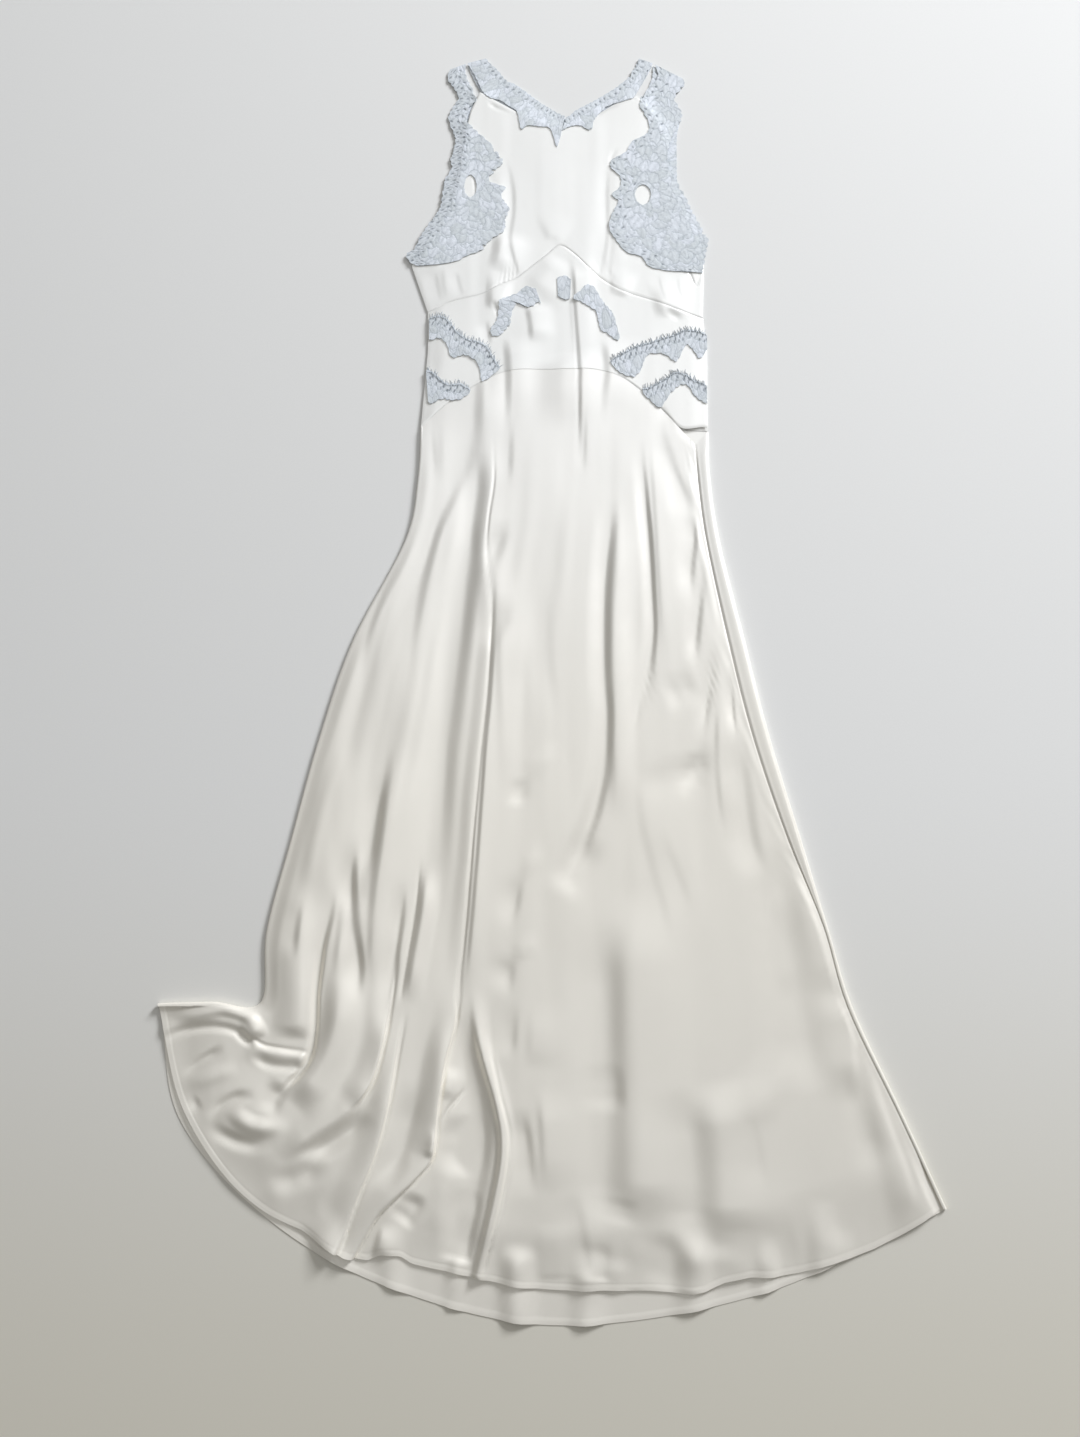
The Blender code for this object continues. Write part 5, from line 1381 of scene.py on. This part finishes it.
def wire(tree, shader, tint, height=None, strength=0.0, depth=0.0):
    """Link the finished colour into the shader, and a height as a bump where there is one."""
    tree.links.new(tint, shader.inputs["Base Color"])
    if height is not None:
        values = {"Strength": strength, "Distance": depth}
        bump = add(tree, "ShaderNodeBump", {"Height": height}, values=values)
        tree.links.new(bump.outputs["Normal"], shader.inputs["Normal"])


def silk_satin(name, face, hem_shade):
    """Silk satin: warp-faced filament weave, so smooth and softly shining along the folds, matt across them.

    The eye sees a white face, and painted shade makes it a little darker and warmer, to ivory, toward the
    hem. A faint diagonal grain shows, because the cloth is cut on the bias. Threads are 0.2 mm apart; the
    grain is drawn every 1.1 mm so that it shows."""
    made, tree, shader, place = finish(name, Roughness=0.4, Metallic=0.3, Sheen_Weight=0.1,
                                       Sheen_Roughness=0.35, Specular_IOR_Level=0.42, IOR=1.5)
    # Painted shade: the colour grows a little darker and warmer toward the hem.
    toward_hem = remap(tree, height_up(tree, place), (-0.25, 0.42), (1.0, 0.0), "SMOOTHSTEP")
    cloudy = remap(tree, noise(tree, place, 14.0, 3.0, 0.55), (0.3, 0.7), (0.985, 1.0))
    tint = shaded(tree, blend(tree, toward_hem, face, hem_shade), cloudy)
    turn = {"Rotation": (0.0, 0.0, math.radians(45))}
    bias = add(tree, "ShaderNodeMapping", {"Vector": place}, values=turn).outputs["Vector"]
    grain = {"Scale": 290.0, "Distortion": 0.6, "Detail": 1.0, "Detail Scale": 1.5}
    warp = add(tree, "ShaderNodeTexWave", {"Vector": bias}, wave_type="BANDS", bands_direction="X",
               values=grain)
    slub = noise(tree, bias, 60.0, 2.0)
    tree.links.new(remap(tree, slub, (0.3, 0.7), (0.36, 0.42)), shader.inputs["Roughness"])
    both = add(tree, "ShaderNodeMath", {0: warp.outputs["Fac"], 1: slub}, operation="MULTIPLY")
    wire(tree, shader, tint, both.outputs["Value"], 0.06, 0.0004)
    return made


def corded_lace(name, cool, warm, line, shadow):
    """Corded lace: cotton cord and petals worked on rayon net, dyed pale blue-grey, dry and matt.

    The eye sees petals of two pale tones lying over each other, and rows of eyelets. Painted shade darkens
    each petal along its rim and where it dips low, its veins are drawn in the same darker line, and painted
    shadow fills the eyelets. The net's mesh is 0.9 mm; it is drawn at 1.6 mm so that it shows as a faint
    speckle."""
    made, tree, shader, place = finish(name, Roughness=0.85, Sheen_Weight=0.15, Sheen_Roughness=0.6,
                                       Specular_IOR_Level=0.25)
    rim, crown, tone, eyelet = (add(tree, "ShaderNodeAttribute", attribute_name=key).outputs["Fac"]
                                for key in ("rim", "crown", "tone", "eyelet"))
    petal = blend(tree, tone, warm, cool)
    # Painted shade: petals darken toward the line colour where they dip low, and along their rims; the veins
    # use the same line.
    low_shade = blend(tree, remap(tree, crown, (0.0, 0.8), (0.34, 0.0)), petal, line)
    drawn = add(tree, "ShaderNodeMath", {0: rim}, operation="MULTIPLY", values={1: 0.7}).outputs["Value"]
    # Painted shadow: the eyelets take the shadow colour.
    eyelet_shadowed = blend(tree, eyelet, blend(tree, drawn, low_shade, line), shadow)
    mesh = {"Scale": 620.0, "Randomness": 0.5}
    cells = add(tree, "ShaderNodeTexVoronoi", {"Vector": place}, feature="DISTANCE_TO_EDGE", values=mesh)
    net = remap(tree, cells.outputs["Distance"], (0.05, 0.35), (1.03, 0.95))
    patch = noise(tree, place, 240.0, 4.0, 0.7)
    cloudy = remap(tree, patch, (0.32, 0.68), (0.88, 1.06))
    shade = add(tree, "ShaderNodeMath", {0: net, 1: cloudy}, operation="MULTIPLY").outputs["Value"]
    worked = add(tree, "ShaderNodeMath", {0: cells.outputs["Distance"], 1: patch}, operation="ADD")
    wire(tree, shader, shaded(tree, eyelet_shadowed, shade), worked.outputs["Value"], 0.35, 0.0006)
    return made


def plain_thread(name, tint, light):
    """Rayon thread: smooth, a little darker than the petals, its twist only a faint change of tone."""
    made, tree, shader, place = finish(name, Roughness=0.6, Sheen_Weight=0.1, Specular_IOR_Level=0.3)
    wire(tree, shader, blend(tree, noise(tree, place, 900.0, 1.0), tint, light))
    return made


def painted_board(name, tint, light, warm):
    """The pale board under the dress: matt paint with no grain; painted shade darkens and warms its near end.
    """
    made, tree, shader, place = finish(name, Roughness=0.95, Specular_IOR_Level=0.1)
    cloudy = blend(tree, noise(tree, place, 500.0, 2.0), tint, light)
    # Painted shade: the board darkens and warms toward its near end.
    near = remap(tree, height_up(tree, place), (-0.95, -0.1), (1.0, 0.0), "SMOOTHSTEP")
    wire(tree, shader, blend(tree, near, cloudy, warm))
    return made


# The second colour of each satin is painted shade, reached toward the hem.
SATIN_FINISH = silk_satin("ivory silk satin", "#f7f6f2", "#f6f2e8")
LIGHT_FINISH = silk_satin("white silk satin", "#f6f6f3", "#f6f2e8")
# The line colour is partly painted shade along the petal rims and partly the veins; the last colour is
# painted shadow in the eyelets.
LACE_FINISH = corded_lace("pale blue corded lace", "#e3e8ef", "#d3d9dc", "#a9b1b7", "#6f777f")
THREAD_FINISH = plain_thread("pale blue rayon thread", "#a3abb2", "#c3c9ce")
# The board's last colour is painted shade at its near end.
BOARD_FINISH = painted_board("pale matt board", "#e1e1df", "#e5e5e3", "#dad6c9")

# The dress. Satin: its node, grid, finish and slot.
SATIN = (
    ("back_skirt", back_skirt_grid, SATIN_FINISH, "satin"),
    ("back_bodice", back_bodice_grid, LIGHT_FINISH, "satin"),
    ("front_skirt", front_skirt_grid, SATIN_FINISH, "satin"),
    ("front_midriff", midriff_grid, LIGHT_FINISH, "satin_light"),
    ("front_bust", bust_grid, LIGHT_FINISH, "satin_light"),
)
# Lace: part, ribs, and its own make. A chain is a row of petals: depth from the outer edge, pitch, length,
# slant. Dashes are a row of eyelets: depth, pitch, slant, size. Scallops finish the outer edge and picots the
# inner one: pitch, height.
# Small pieces are drawn on a finer grid.
SMALL = {"cell": 0.7}
MOTIF = SMALL | {"size": 11.0, "scallop": (7.0, 1.3), "picot": (7.5, 1.4)}
BAND = SMALL | {"size": 10.0, "scallop": (8.0, 1.2), "picot": (8.0, 1.6), "chain": ((6.8, 8.0, 5.0, 0.1),),
                "dashes": ((5.2, 8.0, 0.3, 2.3), (9.6, 8.0, 0.3, 2.1))}
BACK_LACE = (
    ("back_left", BACK_LEFT, {"size": 12.0, "dashes": ((3.4, 8.0, 0.4, 1.7), (10.0, 8.0, 0.4, 1.5))}),
    ("back_right", BACK_RIGHT, {"size": 12.0, "dashes": ((5.0, 8.0, -0.5, 1.5),)}),
    ("back_neck", BACK_NECK, {"size": 11.0, "dashes": ((5.0, 8.0, 0.4, 1.5),)}),
)
FRONT_LACE = (
    ("neck_left", NECK_LEFT, {"size": 12.0, "chain": ((4.6, 7.4, 5.0, 0.5),),
                              "dashes": ((5.0, 7.4, 0.5, 1.6),)}),
    ("neck_right", NECK_RIGHT, {"size": 12.0, "chain": ((4.6, 7.4, 5.0, -0.5),),
                                "dashes": ((5.0, 7.4, -0.5, 1.6),)}),
    ("arm_left", ARM_LEFT, {"size": 17.0, "holes": HOLES_LEFT, "chain": ((6.0, 8.4, 6.5, 0.4),),
                            "dashes": ((3.6, 8.4, 0.5, 1.9), (9.6, 8.4, 0.5, 1.9), (15.6, 9.4, -0.5, 1.6)),
                            "scallop": (9.0, 1.6), "picot": (10.0, 2.2)}),
    ("arm_right", ARM_RIGHT, {"size": 17.0, "holes": HOLES_RIGHT, "picot": (10.0, 2.2),
                              "dashes": ((5.0, 8.4, -0.5, 1.6), (16.0, 12.0, 0.6, 1.6))}),
    ("midriff_left", MOTIF_LEFT, MOTIF),
    ("midriff_centre", MOTIF_CENTRE, SMALL | {"size": 12.0, "scallop": (7.0, 1.0), "picot": (7.5, 1.0)}),
    ("midriff_right", MOTIF_RIGHT, MOTIF),
)
WAIST_LACE = (
    ("waist_left_upper", WAIST_LEFT_UPPER),
    ("waist_left_lower", WAIST_LEFT_LOWER),
    ("waist_right_upper", WAIST_RIGHT_UPPER),
    ("waist_right_lower", WAIST_RIGHT_LOWER),
)

# Finished pieces by their nodes, and the picots that go with a band. Each lace piece draws its petals from a
# seed of its own, and the seeds run on through the three tables.
pieces = {}
for node, grid_of, satin, slot in SATIN:
    pieces[node] = cloth("satin_" + node, grid_of(), SATIN_WALL, satin, node)
for seed, (part, ribs, make) in enumerate(BACK_LACE, 3):
    pieces["lace_" + part] = lace(part, ribs, None, seed, **make)
# The front lace lies on all that is made so far but the back skirt, which it doesn't reach.
below = cloth_trees([piece for node, piece in pieces.items() if node != "back_skirt"])
for seed, (part, ribs, make) in enumerate(FRONT_LACE, 6):
    pieces["lace_" + part] = lace(part, ribs, below, seed, **make)
for seed, (part, ribs) in enumerate(WAIST_LACE, 13):
    band = lace(part, ribs, below, seed, **BAND)
    pieces["lace_" + part] = band
    picots(part, ribs, cloth_trees([band]) + below, seed + 20)

# Floor, light and camera.
deselect()
bpy.ops.mesh.primitive_plane_add(size=FLOOR_SIZE, location=(0, 0, 0))
floor = bpy.context.active_object
floor.name = "floor"
floor.data.materials.append(BOARD_FINISH)


def soft_light(name, place, aim, size, power, tint):
    """A large plain area light turned to face one spot."""
    data = bpy.data.lights.new(name, "AREA")
    data.shape = "RECTANGLE"
    data.size, data.size_y = size
    data.energy = power
    data.color = colour(tint)[:3]
    lamp = bpy.data.objects.new(name, data)
    lamp.location = place
    lamp.rotation_euler = (Vector(aim) - Vector(place)).to_track_quat("-Z", "Y").to_euler()
    bpy.context.scene.collection.objects.link(lamp)


soft_light("window", KEY_PLACE, (0.0, 0.1, 0.0), (KEY_SIZE, KEY_SIZE), KEY_POWER, "#f8faff")
for place, size, power in CEILING:
    soft_light("ceiling", place, (place[0], place[1], 0.0), size, power, "#f8fbff")
room = bpy.data.worlds.new("pale room")
room.use_nodes = True
room.node_tree.nodes["Background"].inputs["Color"].default_value = colour("#f8f5ee")
room.node_tree.nodes["Background"].inputs["Strength"].default_value = ROOM_LIGHT
bpy.context.scene.world = room
bpy.context.scene.view_settings.view_transform = "Standard"

camera_data = bpy.data.cameras.new("photo")
camera_data.lens = LENS
camera_data.sensor_width = SENSOR
camera = bpy.data.objects.new("photo", camera_data)
camera.location = CAMERA_PLACE
camera.rotation_euler = (math.radians(CAMERA_TILT), 0.0, 0.0)
bpy.context.scene.collection.objects.link(camera)
bpy.context.scene.camera = camera
